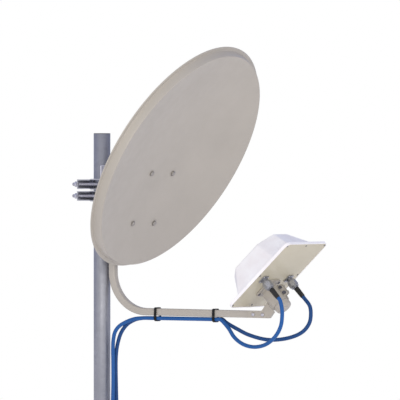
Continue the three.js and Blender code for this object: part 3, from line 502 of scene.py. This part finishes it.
def cable_stretch(name, route, material, node):
    path = centripetal(route, PATH_STEPS)
    obj = piece(name, tube(bmesh.new(), path, CABLE["radius"]), material, None, [node])
    return obj, path


def add_cables():
    """Two jumpers, each in three stretches, because their ends ride on different bodies."""
    for side, hand in SIDES.items():
        # The far jumper gets the darker blue as painted shade.
        material = NEAR_BLUE if side == "near" else FAR_BLUE_SHADED
        x = hand * CABLE["x"]
        run_end, run_start = TIES["front"] + TIE_MARGIN, TIES["rear"] - TIE_MARGIN
        seat = -PLUG_SEAT
        loop, loop_path = cable_stretch(f"jumper_{side}_loop", [
            port_point(side, seat + PLUG["boot_end"] + GAP),
            port_point(side, seat + PLUG["boot_end"] + 6),
            *[at(*p) for p in LOOPS[side]],
            at(x, run_end + 10, CABLE["up"]),
            at(x, run_end + GAP, CABLE["up"]),
        ], material, f"cable_{side}_loop")
        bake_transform(loop)
        run, run_path = cable_stretch(f"jumper_{side}_run", [
            at(x, run_end, CABLE["up"]), at(x, (run_end + run_start) / 2, CABLE["up"]),
            at(x, run_start, CABLE["up"]),
        ], material, f"cable_{side}_run")
        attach(run, "reflector")
        tail_top = CABLE["tip"] + PLUG["boot_end"]
        tail_x = hand * CABLE["tail_x"]
        drop, drop_path = cable_stretch(f"jumper_{side}_drop", [
            at(x, run_start - GAP, CABLE["up"]),
            at(x, run_start - 10, CABLE["up"]),
            *[at(*p) for p in DROPS[side]],
            at(tail_x, CABLE["hang"], tail_top + 20),
            at(tail_x, CABLE["hang"], tail_top + GAP),
        ], material, f"cable_{side}_drop")
        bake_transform(drop)
        tail = add_plug(f"{side}_tail", tail_place(side), "clamp_head", f"{side}_tail_nut", True)


# -------- plugs and sockets

def tail_place(side):
    return Matrix.Translation(at(SIDES[side] * CABLE["tail_x"], CABLE["hang"], CABLE["tip"]))


def feed_plug_place(side):
    seat = Matrix.Translation((SIDES[side] * PORT["x"], PORT["y"], PLUG_SEAT))
    return FEED_PLACE @ seat @ HALF_TURN


def nut_profile(low, high):
    """(radius, height) up the outside of a coupling nut: two grooved collars and a plain middle."""
    return [
        (9.0, low), (9.7, low + 0.6), (9.9, low + 1.8), (9.3, low + 2), (9.3, low + 2.4), (9.9, low + 2.6),
        (9.9, high - 3.2), (9.2, high - 3), (9.2, high - 2.4), (9.7, high - 2.2), (9.7, high - 0.6),
        (8.9, high),
    ]


def coupling_nut(name, place, body, node):
    """Coupling nut: round grooved collar over a six-sided grip, bored through."""
    bm = bmesh.new()
    corner = PLUG["nut_flats"] / math.sqrt(3) - 0.15
    angles = [math.radians(60 * i) for i in range(6)]
    hexagon = [(corner * math.cos(a), corner * math.sin(a)) for a in angles]
    prism(bm, hexagon, 3.2, PLUG["nut"] - 4.6, place)
    bore = [(6.5, PLUG["nut"]), (6.5, 15), (8.2, 14.9), (8.0, 8), (8.2, 1), (8.7, 0)]
    lathe(bm, nut_profile(0, PLUG["nut"]) + bore, place, 48, closed=True)
    return piece(name, bm, NICKEL, body, [node], bevel=0.25)


def boot_profile(low, high):
    """Ribbed sleeve that narrows onto the cable."""
    ribs = PLUG["boot_ribs"]
    profile = [(0, low), (5.4, low), (6.2, low + 0.6)]
    rib = (high - low - 3) / ribs
    for i in range(ribs):
        base = low + 1.5 + rib * i
        outer = 6.25 - 0.6 * i / ribs
        groove = outer - 0.45
        profile += [(outer, base), (outer, base + rib * 0.62), (groove, base + rib * 0.7)]
        profile.append((groove, base + rib * 0.92))
    return [*profile, (5.5, high - 1), (5.0, high), (0, high)]


def add_plug(suffix, place, body, nut_body, is_tail):
    """A straight plug on the cable's end: nut, body and boot. A tail's body and boot are one CAD node."""
    nut = coupling_nut(f"nut_{suffix}", place, nut_body, f"coupling_nut_{suffix}")
    end = PLUG["body_end"]
    body_profile = [(0, 3.4), (5.2, 3.4), (6.0, 4.2), (6.0, 14.8), (6.05, end - 0.4), (5.7, end), (0, end)]
    bm = lathe(bmesh.new(), body_profile, place, 36)
    shell = piece(f"plug_{suffix}", bm, NICKEL, body, [f"plug_body_{suffix}"])
    bm = lathe(bmesh.new(), [(0, 0.8), (0.7, 1.2), (0.8, 2), (0.8, 3.3), (0, 3.3)], place, 16)
    pin = piece(f"pin_{suffix}", bm, BRASS, body)
    low = end + (0.05 if is_tail else GAP)
    boot_nodes = () if is_tail else [f"plug_boot_{suffix}"]
    bm = lathe(bmesh.new(), boot_profile(low, PLUG["boot_end"]), place, 36)
    boot = piece(f"boot_{suffix}", bm, RUBBER, body, boot_nodes, sharp=50)
    return [nut, shell, pin, boot]


def corner_spots(reach):
    """The four corners of a square, each with two letters for its name."""
    return [(i * reach, j * reach, "ab"[i > 0] + "ab"[j > 0]) for i in (-1, 1) for j in (-1, 1)]


def add_socket(side):
    """Square panel socket with a threaded barrel and four small screws."""
    place = FEED_PLACE @ Matrix.Translation((SIDES[side] * PORT["x"], PORT["y"], 0))
    size, face = SOCKET["size"], SOCKET["face"]
    bm = bmesh.new()
    prism(bm, rounded_outline(size, size, SOCKET["corner"], steps=5), face, -GAP, place)
    barrel = [(7.4, -2.5)]
    for i in range(SOCKET["turns"]):
        base = face - SOCKET["pitch"] * i
        barrel += [(7.75, base - 0.2), (7.75, base - 0.45), (7.2, base - 0.75), (7.2, base - 0.85)]
    mouth = [(7.0, -12), (3.6, -12), (3.6, -5), (0, -5)]
    lathe(bm, barrel + mouth, place, 40)
    piece(f"socket_{side}", bm, NICKEL, "feed", [f"panel_socket_{side}"], bevel=0.15)
    for x, y, letters in corner_spots(SOCKET["screw"]):
        spot = place @ Matrix.Translation((x, y, face)) @ HALF_TURN
        piece(f"socket_screw_{side}_{letters}", dome_head(bmesh.new(), spot, 2.0, 1.3), ZINC, "feed")


# -------- fasteners

def dome_head(bm, place, radius, height, segments=28):
    """A plain domed head with a flat crown, standing up from z 0."""
    shape = [(0, 0), (1, 0), (1, 0.3), (0.93, 0.6), (0.72, 0.88), (0.4, 1), (0, 1)]
    return lathe(bm, [(radius * r, height * h) for r, h in shape], place, segments)


def threaded(bm, place, radius, start, stop, pitch=1.25, segments=20):
    """A shank with ring-shaped threads and a chamfered tip."""
    root = radius * 0.87
    profile = [(0, start), (radius * 0.88, start)]
    for i in range(max(int((stop - start - 1) / pitch), 1)):
        base = start + pitch * i
        profile += [(radius, base + pitch * 0.35), (radius, base + pitch * 0.55), (root, base + pitch * 0.95)]
    profile += [(radius * 0.86, stop - 0.7), (radius * 0.65, stop), (0, stop)]
    return lathe(bm, profile, place, segments)


def hex_body(bm, place, across_flats, low, high):
    """A hexagon whose corners are turned down at both ends."""
    full = across_flats / math.sqrt(3)
    turned = across_flats / 2 * 1.02
    chamfer = (high - low) * 0.12
    rings = []
    for height, limit in ((low, turned), (low + chamfer, full), (high - chamfer, full), (high, turned)):
        ring = []
        for degrees in range(0, 360, 15):
            angle = math.radians(degrees)
            to_flat = across_flats / 2 / math.cos(math.radians(degrees % 60 - 30))
            radius = min(to_flat, limit)
            ring.append(place @ Vector((radius * math.cos(angle), radius * math.sin(angle), height)))
        rings.append(ring)
    return add_rings(bm, rings)


def add_clamp_fasteners():
    """Four long bolts through the bracket and both jaws, with flanged nuts behind the mast."""
    front, back, tip = WEB_FRONT + GAP, REAR_WEB - GAP, CLAMP_BOLT["tip"]
    flats = CLAMP_BOLT["flats"]
    flange = [(4.4, 0), (8.5, 0), (8.5, 0.9), (6.4, 2.2), (4.4, 2.2)]
    for level, up in CLAMP_ROWS.items():
        for hand, sign in HANDS.items():
            x = sign * CLAMP_BOLT["x"]
            place = along_line(at(x, front, up), at(x, tip, up))
            bm = hex_body(bmesh.new(), place, flats, -CLAMP_BOLT["head"], 0)
            threaded(bm, place, CLAMP_BOLT["radius"], 0, front - tip)
            node = f"clamp_bolt_{level}_{hand}"
            piece(f"{node}_look", bm, ZINC, "clamp_head", [node])
            place = along_line(at(x, back, up), at(x, tip, up))
            bm = hex_body(bmesh.new(), place, flats, 1.4, CLAMP_BOLT["nut"])
            lathe(bm, flange, place, 40, closed=True)
            node = f"clamp_nut_{level}_{hand}"
            piece(f"{node}_look", bm, ZINC, "clamp_head", [node])


def bowl_depth(x, along):
    """How far the bowl's face lies behind the rim's plane."""
    return DISH["depth"] * (1 - (x / DISH["half_width"]) ** 2 - (along / DISH["half_height"]) ** 2)


DISH_PLACE = (Matrix.Translation(at(0, DISH["forward"], DISH["up"]))
              @ Matrix.Rotation(math.pi / 2 + DISH["lean"], 4, "X"))


def add_dish_bolts():
    """Four bolts through the bowl, each with a domed head, a washer and a flanged nut behind."""
    washer = [(2.6, -1.3), (7.2, -1.0), (7.2, -0.2), (2.6, -0.1)]
    flange = [(3.4, 3.6), (8, 3.6), (8, 5), (3.4, 5)]
    shank = DISH_BOLT["tip"] + DISH_BOLT["lift"]
    for row, along in (("upper", DISH_BOLT["high"]), ("lower", DISH_BOLT["low"])):
        for hand, sign in HANDS.items():
            x = sign * DISH_BOLT["x"]
            surface = -bowl_depth(x, along)
            spot = DISH_PLACE @ Matrix.Translation((x, along, surface + DISH_BOLT["lift"]))
            bm = dome_head(bmesh.new(), spot, DISH_BOLT["dome_radius"], DISH_BOLT["dome"], 36)
            lathe(bm, washer, spot, 36, closed=True)
            threaded(bm, spot @ HALF_TURN, DISH_BOLT["radius"], 0, shank, 1.0)
            node = f"dish_bolt_{row}_{hand}"
            piece(f"{node}_look", bm, DULL_ZINC, "reflector", [node], sharp=40)
            spot = DISH_PLACE @ Matrix.Translation((x, along, surface - DISH_BOLT["nut_drop"]))
            bm = hex_body(bmesh.new(), spot, DISH_BOLT["flats"], 0, DISH_BOLT["nut"])
            lathe(bm, flange, spot, 32, closed=True)
            node = f"dish_nut_{row}_{hand}"
            piece(f"{node}_look", bm, ZINC, "reflector", [node])


def add_cross_bolt(node, middle, head_x, nut_x, size, domed=False):
    """A bolt across X at a side-view point: its head at one x, its nut at another, its tip beyond."""
    radius, head = size["radius"], size["head"]
    tip_x = nut_x + math.copysign(size["reach"], nut_x)
    start, end = at(head_x, *middle), at(tip_x, *middle)
    place = along_line(start, end)
    bm = bmesh.new()
    if domed:
        dome_head(bm, place @ HALF_TURN, head / 2, radius * 0.9)
    else:
        hex_body(bm, place, head, -radius * 1.3, 0)
    threaded(bm, place, radius, 0, (end - start).length, radius * 0.3)
    nut_start = abs(nut_x - head_x)
    nut_flats = radius * 3.2 if domed else head
    hex_body(bm, place, nut_flats, nut_start, nut_start + radius * 1.6)
    piece(f"{node}_look", bm, ZINC, "reflector", [node])


def add_bracket_bolts():
    """The bolts and screws that cross the tilt bracket and the arm."""
    outer = CHEEK_OUTER + GAP
    add_cross_bolt("pivot_bolt", PIVOT, -outer, outer, PIVOT_BOLT)
    turned = (math.cos(LOCK["angle"]), math.sin(LOCK["angle"]))
    lock = [pivot + LOCK["radius"] * part for pivot, part in zip(PIVOT, turned)]
    for hand, sign in HANDS.items():
        head_x = sign * (TONGUE_INNER - GAP)
        add_cross_bolt(f"elevation_lock_bolt_{hand}", lock, head_x, sign * outer, LOCK_BOLT, domed=True)
    tube_side = ARM["size"] / 2 + GAP
    side = tube_side + BRACKET_SHEET + GAP
    for name, up in zip(("upper", "lower"), ARM_BOLT["ups"]):
        add_cross_bolt(f"arm_bolt_{name}", (ARM["forward"], up), -side, side, ARM_BOLT)
    head_x = -(tube_side + HOLDER_SHEET + GAP)
    for name, forward in zip(("rear", "front"), HOLDER_SCREW["forwards"]):
        middle = (forward, arm_up(forward))
        add_cross_bolt(f"holder_screw_{name}", middle, head_x, tube_side, HOLDER_SCREW, domed=True)


# -------- mast, dish and arm

def add_mast():
    """Round tube, open at both ends, with its cut edges taken off."""
    outer, inner, length = MAST["radius"], MAST["radius"] - MAST["wall"], MAST["length"]
    profile = [
        (inner, 0.4), (inner + 0.4, 0), (outer - 0.5, 0), (outer, 0.5), (outer, length / 2),
        (outer, length - 0.5), (outer - 0.5, length), (inner + 0.4, length), (inner, length - 0.4),
        (inner, length / 2),
    ]
    bm = lathe(bmesh.new(), profile, segments=96, closed=True)
    piece("mast_look", bm, MAST_ZINC, "mast", ["mast_tube"], sharp=50)


def dish_profile():
    """(radius, distance behind the rim plane) from the bowl's centre, round the rim, and back."""
    half, sheet = DISH["half_width"], DISH["sheet"]
    steps = 36
    radii = [half * i / steps for i in range(steps)]
    bowl = [(radius, bowl_depth(radius, 0)) for radius in radii]
    wall_out = half + DISH["wall_flare"]
    lip_out = wall_out + DISH["lip"]
    deep = DISH["wall_depth"]
    rim = [(half - 1.2, 0.4), (half - 0.2, 0.1), (half + 0.8, 0.4), (half + 1.4, 1.4)]
    wall = [(half + 1.4 + (wall_out - half - 0.6) * t, 1.4 + (deep - 4.4) * t) for t in (0.25, 0.5, 0.75, 1)]
    lip = [
        (wall_out + 1.6, deep - 1.7), (wall_out + 3, deep - 1.4), (lip_out - 1, deep - 1.5),
        (lip_out + 0.6, deep - 1.2), (lip_out + 1.4, deep - 0.2), (lip_out + 1.2, deep + 0.8),
        (lip_out, deep + 1.2), (lip_out - 1.6, deep), (wall_out + 1, deep),
    ]
    inside = [(wall_out - 0.8, deep - 1.2), (half + 0.2, 4), (half - 1.4, 2.6)]
    back = [(radius, depth + sheet) for radius, depth in reversed(bowl)]
    return bowl + rim + wall + lip + inside + back


def drawn_out(radius, angle):
    """Where a point of the round pan lies once the rim is drawn out to an ellipse."""
    half_width, half_height = DISH["half_width"], DISH["half_height"]
    inside = min(radius, half_width) / half_width
    outside = max(radius - half_width, 0)
    cos, sin = math.cos(angle), math.sin(angle)
    normal = Vector((cos * half_height, sin * half_width)).normalized()
    return (cos * half_width * inside + normal.x * outside, sin * half_height * inside + normal.y * outside)


def add_dish():
    """Pressed oval pan: a shallow bowl, a rolled rim wall and a flat lip."""
    segments = DISH["segments"]
    rings = []
    for radius, behind in dish_profile():
        if radius == 0:
            rings.append([DISH_PLACE @ Vector((0, 0, -behind))])
            continue
        ring = []
        for i in range(segments):
            x, y = drawn_out(radius, 2 * math.pi * i / segments)
            ring.append(DISH_PLACE @ Vector((x, y, -behind)))
        rings.append(ring)
    bm = add_rings(bmesh.new(), rings)
    piece("dish_look", bm, GREIGE, "reflector", ["reflector_dish"], sharp=60)


def arm_up(forward):
    """The height of the arm's centre, which droops slightly toward the feed."""
    return ARM["centre_up"] - (forward - ARM["forward"] - ARM["bend"]) * math.tan(ARM["droop"])


def arm_path():
    """The arm's centre line, down from the bracket, round one bend and out to the feed."""
    bend_forward, bend_up = ARM["forward"] + ARM["bend"], ARM["centre_up"] + ARM["bend"]
    path = [(ARM["forward"], ARM["top"]), (ARM["forward"], (ARM["top"] + bend_up) / 2)]
    steps = 28
    for i in range(steps + 1):
        angle = math.pi + (math.pi / 2 - ARM["droop"]) * i / steps
        path.append((bend_forward + ARM["bend"] * math.cos(angle), bend_up + ARM["bend"] * math.sin(angle)))
    for forward in (200, 280, 360, ARM["end"]):
        path.append((forward, arm_up(forward)))
    return path


def add_arm():
    """Square tube with rounded corners, open at its ends."""
    path = arm_path()
    size, bore = ARM["size"], ARM["size"] - 2 * ARM["wall"]
    outer = rounded_outline(size, size, ARM["corner"], steps=5)
    inner = rounded_outline(bore, bore, ARM["inner_corner"], steps=5)
    loops = {"outer": [], "inner": []}
    for i, (forward, up) in enumerate(path):
        before, after = path[max(i - 1, 0)], path[min(i + 1, len(path) - 1)]
        along = Vector((after[0] - before[0], after[1] - before[1])).normalized()
        across = Vector((-along.y, along.x))
        for key, section in (("outer", outer), ("inner", inner)):
            loops[key].append([at(x, forward + across.x * y, up + across.y * y) for x, y in section])
    bm = add_rings(bmesh.new(), [*loops["outer"], *reversed(loops["inner"])], closed=True)
    piece("feed_arm_look", bm, GREIGE, "reflector", ["feed_arm"], sharp=50)


def tie_outline(grow, forward):
    """A closed line round the arm and both cables, this far out from them."""
    top = arm_up(forward) + ARM["size"] / 2 + GAP + grow
    side = ARM["size"] / 2 + GAP + grow
    radius = CABLE["radius"] + GAP + grow
    corner = TIE["corner"] + grow
    right_top = arc(side - corner, top - corner, corner, 0, 90, 5)
    left_top = arc(-side + corner, top - corner, corner, 90, 180, 5)
    left = arc(-CABLE["x"], CABLE["up"], radius, 180, 270, 9)
    right = arc(CABLE["x"], CABLE["up"], radius, 270, 360, 9)
    return right_top + left_top + left + right


def add_ties():
    """Nylon cable ties: a flat band, its lock head and the cut tail."""
    inner, edge, outer = TIE["inner"], TIE["edge"], TIE["outer"]
    end = TIE["width"] / 2
    flat = end - TIE["bevel"]
    section = [(inner, -end), (edge, -end), (outer, -flat), (outer, flat), (edge, end), (inner, end)]
    for name, forward in TIES.items():
        bm = bmesh.new()
        rings = [[at(x, forward + y, up) for x, up in tie_outline(grow, forward)] for grow, y in section]
        add_rings(bm, rings, closed=True)
        side = ARM["size"] / 2 + GAP
        up = arm_up(forward)
        box(bm, side + 0.4, side + 6, -forward - 4.2, -forward + 4.2, up - 2, up + 4)
        box(bm, side + 2.6, side + 3.8, -forward - 2.4, -forward + 2.4, up + 4, up + 7)
        node = f"cable_tie_{name}"
        piece(f"{node}_look", bm, NYLON, "reflector", [node], bevel=0.3, sharp=40)


# -------- feed

def add_clamp_ring():
    """Split band round the neck, with two lugs drawn together by screws."""
    inner, outer = NECK["radius"] + GAP, NECK["radius"] + RING["wall"]
    near, far = -RING["near"], -RING["far"]
    section = [(inner, far), (outer, far), (outer, near), (inner, near)]
    slit = math.asin(RING["half_slit"] / outer)
    count = 72
    rings = []
    for i in range(count + 1):
        angle = -math.pi / 2 + slit + (2 * math.pi - 2 * slit) * i / count
        cos, sin = math.cos(angle), math.sin(angle)
        rings.append([FEED_PLACE @ Vector((r * cos, r * sin, z)) for r, z in section])
    bm = add_rings(bmesh.new(), rings)
    lug = rounded_outline(
        RING["lug_width"], RING["lug_height"], RING["lug_corner"], cx=RING["lug_along"], cy=RING["lug_y"],
    )
    sideways = FEED_PLACE @ Matrix.Rotation(math.pi / 2, 4, "Y")
    for sign in (-1, 1):
        x0, x1 = sorted((sign * RING["half_slit"], sign * RING["lug_outer"]))
        prism(bm, [(-z, y) for z, y in lug], x0, x1, sideways)
    nodes = ["neck_clamp_ring"]
    piece("clamp_ring_look", bm, GREIGE, "reflector", nodes, bevel=0.35, sharp=40)
    add_ring_screws()


def add_ring_screws():
    """The two screws across the split ring's lugs."""
    screw = RING_SCREW
    for name, z in zip(("upper", "lower"), screw["alongs"]):
        start, end = (FEED_PLACE @ Vector((x, screw["y"], z)) for x in (screw["from_x"], screw["to_x"]))
        place = along_line(start, end)
        bm = hex_body(bmesh.new(), place, screw["flats"], -screw["head"], 0)
        threaded(bm, place, screw["radius"], 0, screw["to_x"] - screw["from_x"], screw["pitch"])
        hex_body(bm, place, screw["flats"], screw["nut_low"], screw["nut_high"])
        node = f"ring_screw_{name}"
        piece(f"{node}_look", bm, DARK_ZINC, "reflector", [node])


def add_neck():
    """Round neck with a domed end on a square foot that is screwed to the back plate."""
    r, length = NECK["radius"], NECK["length"]
    bm = lathe(bmesh.new(), [
        (r - 3, -4), (r + 2.2, -4.2), (r + 0.6, -5), (r, -6.5), (r, -length + 8), (r - 0.6, -length + 5),
        (r - 2.4, -length + 2.4), (r - 6, -length + 0.7), (r - 12, -length), (0, -length),
    ], FEED_PLACE, 72)
    flange, face = NECK["flange"], NECK["flange_top"]
    prism(bm, rounded_outline(flange, flange, NECK["flange_corner"]), face, -GAP, FEED_PLACE)
    piece("neck_look", bm, GREIGE, "feed", ["feed_neck"], bevel=0.5, sharp=60)
    for x, y, letters in corner_spots(NECK["screw"]):
        spot = FEED_PLACE @ Matrix.Translation((x, y, face)) @ HALF_TURN
        piece(f"foot_screw_{letters}", dome_head(bmesh.new(), spot, 3.6, 2.2), DARK_ZINC, "feed")


def feed_outline(width, length, corner):
    """A rounded rectangle centred on the feed's box."""
    return rounded_outline(width, length, corner, 0, FEED["centre_y"], 12)


def add_back_plate():
    """Painted plate under the radome, with eight small screws round its edge."""
    outline = feed_outline(FEED["width"], FEED["length"], FEED["corner"])
    bm = prism(bmesh.new(), outline, 0, FEED["plate"], FEED_PLACE)
    piece("back_plate_look", bm, BEIGE, "feed", ["feed_back_plate"], bevel=0.6, sharp=50)
    half_width, half_length = (FEED[side] / 2 - FEED["screw_inset"] for side in ("width", "length"))
    spots = [(i * half_width, j * half_length) for i in (-1, 0, 1) for j in (-1, 0, 1) if (i, j) != (0, 0)]
    for count, (x, y) in enumerate(spots):
        spot = FEED_PLACE @ Matrix.Translation((x, FEED["centre_y"] + y, 0)) @ HALF_TURN
        piece(f"plate_screw_{count}", dome_head(bmesh.new(), spot, 2.4, 0.9), DARK_ZINC, "feed")


# The radome's eight-sided outlines at its foot and crown: half widths, and places along its length.
RADOME_FOOT = {"half": 88, "end_half": 60, "low": -52, "shoulder": (-33, 100), "high": 141, "z": 6}
RADOME_CROWN = {"half": 60.5, "end_half": 28.5, "low": -38.5, "shoulder": (-7.5, 74), "high": 109.5, "z": 69}
RIM = {"overhang": 2, "lip": 2, "low": -0.8, "seat": 3.3, "top": 6.3, "hole": (150, 176), "hole_corner": 20}


def octagon(shape, inset=0.0, lift=0.0):
    """One of the radome's outlines, drawn in and lifted by so much."""
    slant = inset * 0.4
    half, end_half = shape["half"] - inset, shape["end_half"] - slant
    low, high = shape["shoulder"]
    right = [
        (end_half, shape["low"] + inset), (half, low + slant), (half, high - slant),
        (end_half, shape["high"] - inset),
    ]
    left = [(-x, along) for x, along in reversed(right)]
    return [Vector((x, -along, shape["z"] + lift)) for x, along in right + left]


def add_radome():
    """Tapered eight-sided cover with softened corners and a slightly raised crown."""
    foot, crown = octagon(RADOME_FOOT), octagon(RADOME_CROWN)
    middle = [low.lerp(high, 0.5) for low, high in zip(foot, crown)]
    rings = [foot, middle, crown, octagon(RADOME_CROWN, 9, 3.2), octagon(RADOME_CROWN, 28, 5.4)]
    bm = add_rings(bmesh.new(), [[FEED_PLACE @ v for v in ring] for ring in rings])
    piece(
        "radome_look", bm, RADOME_WHITE, "feed", ["radome"], bevel=2.6, segments=5, sharp=12,
    )


def add_radome_rim():
    """The radome's flat rim, which covers the back plate's edge."""
    width, length = (FEED[side] + 2 * (GAP + RIM["overhang"]) for side in ("width", "length"))
    outer = feed_outline(width, length, FEED["corner"] + RIM["overhang"])
    seat = feed_outline(width - 2 * RIM["lip"], length - 2 * RIM["lip"], FEED["corner"])
    hole = feed_outline(*RIM["hole"], RIM["hole_corner"])
    levels = (
        (seat, RIM["seat"]), (seat, RIM["low"]), (outer, RIM["low"]), (outer, RIM["top"]), (hole, RIM["top"]),
        (hole, RIM["seat"]),
    )
    rings = [[FEED_PLACE @ Vector((x, y, z)) for x, y in outline] for outline, z in levels]
    bm = add_rings(bmesh.new(), rings, closed=True)
    piece("radome_rim", bm, RADOME_WHITE, "feed", (), bevel=0.7, segments=3, sharp=40)


BOARD = {
    "half_width": 62, "from_y": -60, "to_y": 45, "low": 14, "high": 15.6, "post_x": 50, "post_ys": (-50, 35),
    "post_radius": 3, "post_low": 3.4, "patch_ys": {"upper": -24, "lower": 16},
}


def add_board():
    """Laminate board with copper patches, on posts inside the radome."""
    centre, low, radius = FEED["centre_y"], BOARD["low"], BOARD["post_radius"]
    half, y0, y1 = BOARD["half_width"], centre + BOARD["from_y"], centre + BOARD["to_y"]
    bm = box(bmesh.new(), -half, half, y0, y1, low, BOARD["high"], FEED_PLACE)
    post = [(0, BOARD["post_low"]), (radius, BOARD["post_low"]), (radius, low), (0, low)]
    for x in (-BOARD["post_x"], BOARD["post_x"]):
        for y in BOARD["post_ys"]:
            lathe(bm, post, FEED_PLACE @ Matrix.Translation((x, centre + y, 0)), 20)
    piece("board_look", bm, LAMINATE, "feed", ["radiator_board"], bevel=0.2)
    disc = [(0, 15.7), (15.6, 15.7), (16, 16.2), (16, 18.6), (15.6, 19), (0, 19)]
    for name, y in BOARD["patch_ys"].items():
        bm = lathe(bmesh.new(), disc, FEED_PLACE @ Matrix.Translation((0, centre + y, 0)), 48)
        piece(f"patch_{name}", bm, COPPER, "feed", ())


# -------- plain folded pieces

def add_folded_pieces():
    """Pieces whose CAD shape is right, and only want their edges softened."""
    for level in CLAMP_ROWS:
        softened(f"front_jaw_{level}", JAW_STEEL, "clamp_head")
        softened(f"rear_jaw_{level}", JAW_STEEL, "clamp_head")
    softened("mast_bracket", BRACKET_ZINC, "clamp_head", 0.5)
    softened("tilt_bracket", GREIGE, "reflector", 0.4)
    softened("feed_holder", GREIGE, "reflector", 0.4)


# -------- studio

FLOOR = {"radius": 4300, "top": -0.5, "bottom": -12}
FLOOR_GLOW = (1.0, 0.92, 0.78, 1)
FLOOR_GREYS = ((0.84, 0.84, 0.84), (0.87, 0.87, 0.87))

# The surround's light: dim and lilac on one side, bright and warm toward BRIGHT_SIDE.
BRIGHT_SIDE = Vector((-0.7, -0.45, -0.55)).normalized()
DIM_LIGHT = (0.47, 0.5, 0.68, 1)
BRIGHT_LIGHT = (1.3, 1.25, 1.19, 1)
DIM_UNTIL, BRIGHT_FROM = -0.3, 0.85

LAMP_SIZE = 2.4
LAMP_COLOR = (1.0, 0.96, 0.9)


def add_floor():
    """A plain pale disc that glows faintly, which lights the object's underside."""
    radius, top, bottom = FLOOR["radius"], FLOOR["top"], FLOOR["bottom"]
    bm = lathe(bmesh.new(), [(0, bottom), (radius, bottom), (radius, top), (0, top)], segments=128)
    s = Shader("studio_floor")
    s.set(Roughness=0.9, Specular_IOR_Level=0.1, Emission_Color=FLOOR_GLOW, Emission_Strength=0.34)
    s.link(s.blend(s.remap(s.noise(3, 3), 0, 1), *FLOOR_GREYS), s.shader.inputs["Base Color"])
    piece("studio_floor", bm, s.material, None)


def add_light(name, location, target, energy):
    data = bpy.data.lights.new(name, "AREA")
    data.shape = "DISK"
    data.size = LAMP_SIZE
    data.energy = energy
    data.color = LAMP_COLOR
    light = bpy.data.objects.new(name, data)
    light.location = location
    light.rotation_euler = (Vector(target) - Vector(location)).to_track_quat("-Z", "Y").to_euler()
    bpy.context.scene.collection.objects.link(light)


def add_world():
    """A white surround to look at, which lights the object brighter and warmer from one side."""
    world = bpy.data.worlds.new("studio")
    world.use_nodes = True
    bpy.context.scene.world = world
    tree = world.node_tree
    link = tree.links.new
    shown = tree.nodes["Background"]
    shown.inputs["Color"].default_value = (1, 1, 1, 1)
    toward = add_node(tree, "VectorMath")
    toward.operation = "DOT_PRODUCT"
    toward.inputs[1].default_value = BRIGHT_SIDE
    link(add_node(tree, "TexCoord").outputs["Generated"], toward.inputs[0])
    ramp = add_node(tree, "MapRange", From_Min=DIM_UNTIL, From_Max=BRIGHT_FROM)
    link(toward.outputs["Value"], ramp.inputs["Value"])
    tint = add_node(tree, "Mix")
    tint.data_type = "RGBA"
    tint.inputs["A"].default_value = DIM_LIGHT
    tint.inputs["B"].default_value = BRIGHT_LIGHT
    link(ramp.outputs["Result"], tint.inputs["Factor"])
    lighting = add_node(tree, "Background")
    link(tint.outputs["Result"], lighting.inputs["Color"])
    mix = add_node(tree, "MixShader")
    link(add_node(tree, "LightPath").outputs["Is Camera Ray"], mix.inputs["Fac"])
    link(lighting.outputs["Background"], mix.inputs[1])
    link(shown.outputs["Background"], mix.inputs[2])
    link(mix.outputs["Shader"], tree.nodes["World Output"].inputs["Surface"])


def add_studio():
    bpy.context.scene.view_settings.view_transform = "Standard"
    add_world()
    add_floor()
    add_light("key", location=(-3.4, -1.9, 0.35), target=(0, -0.25, 0.7), energy=24)
    add_light("fill", location=(-1.6, -3.2, 0.5), target=(0, -0.25, 0.8), energy=8)


# -------- everything

add_camera()
add_cables()
add_mast()
add_dish()
add_arm()
add_folded_pieces()
add_clamp_fasteners()
add_dish_bolts()
add_bracket_bolts()
add_ties()
add_clamp_ring()
add_neck()
add_back_plate()
add_radome()
add_radome_rim()
add_board()
for side_name in SIDES:
    add_socket(side_name)
    add_plug(f"{side_name}_feed", feed_plug_place(side_name), "feed", "feed", False)
add_studio()
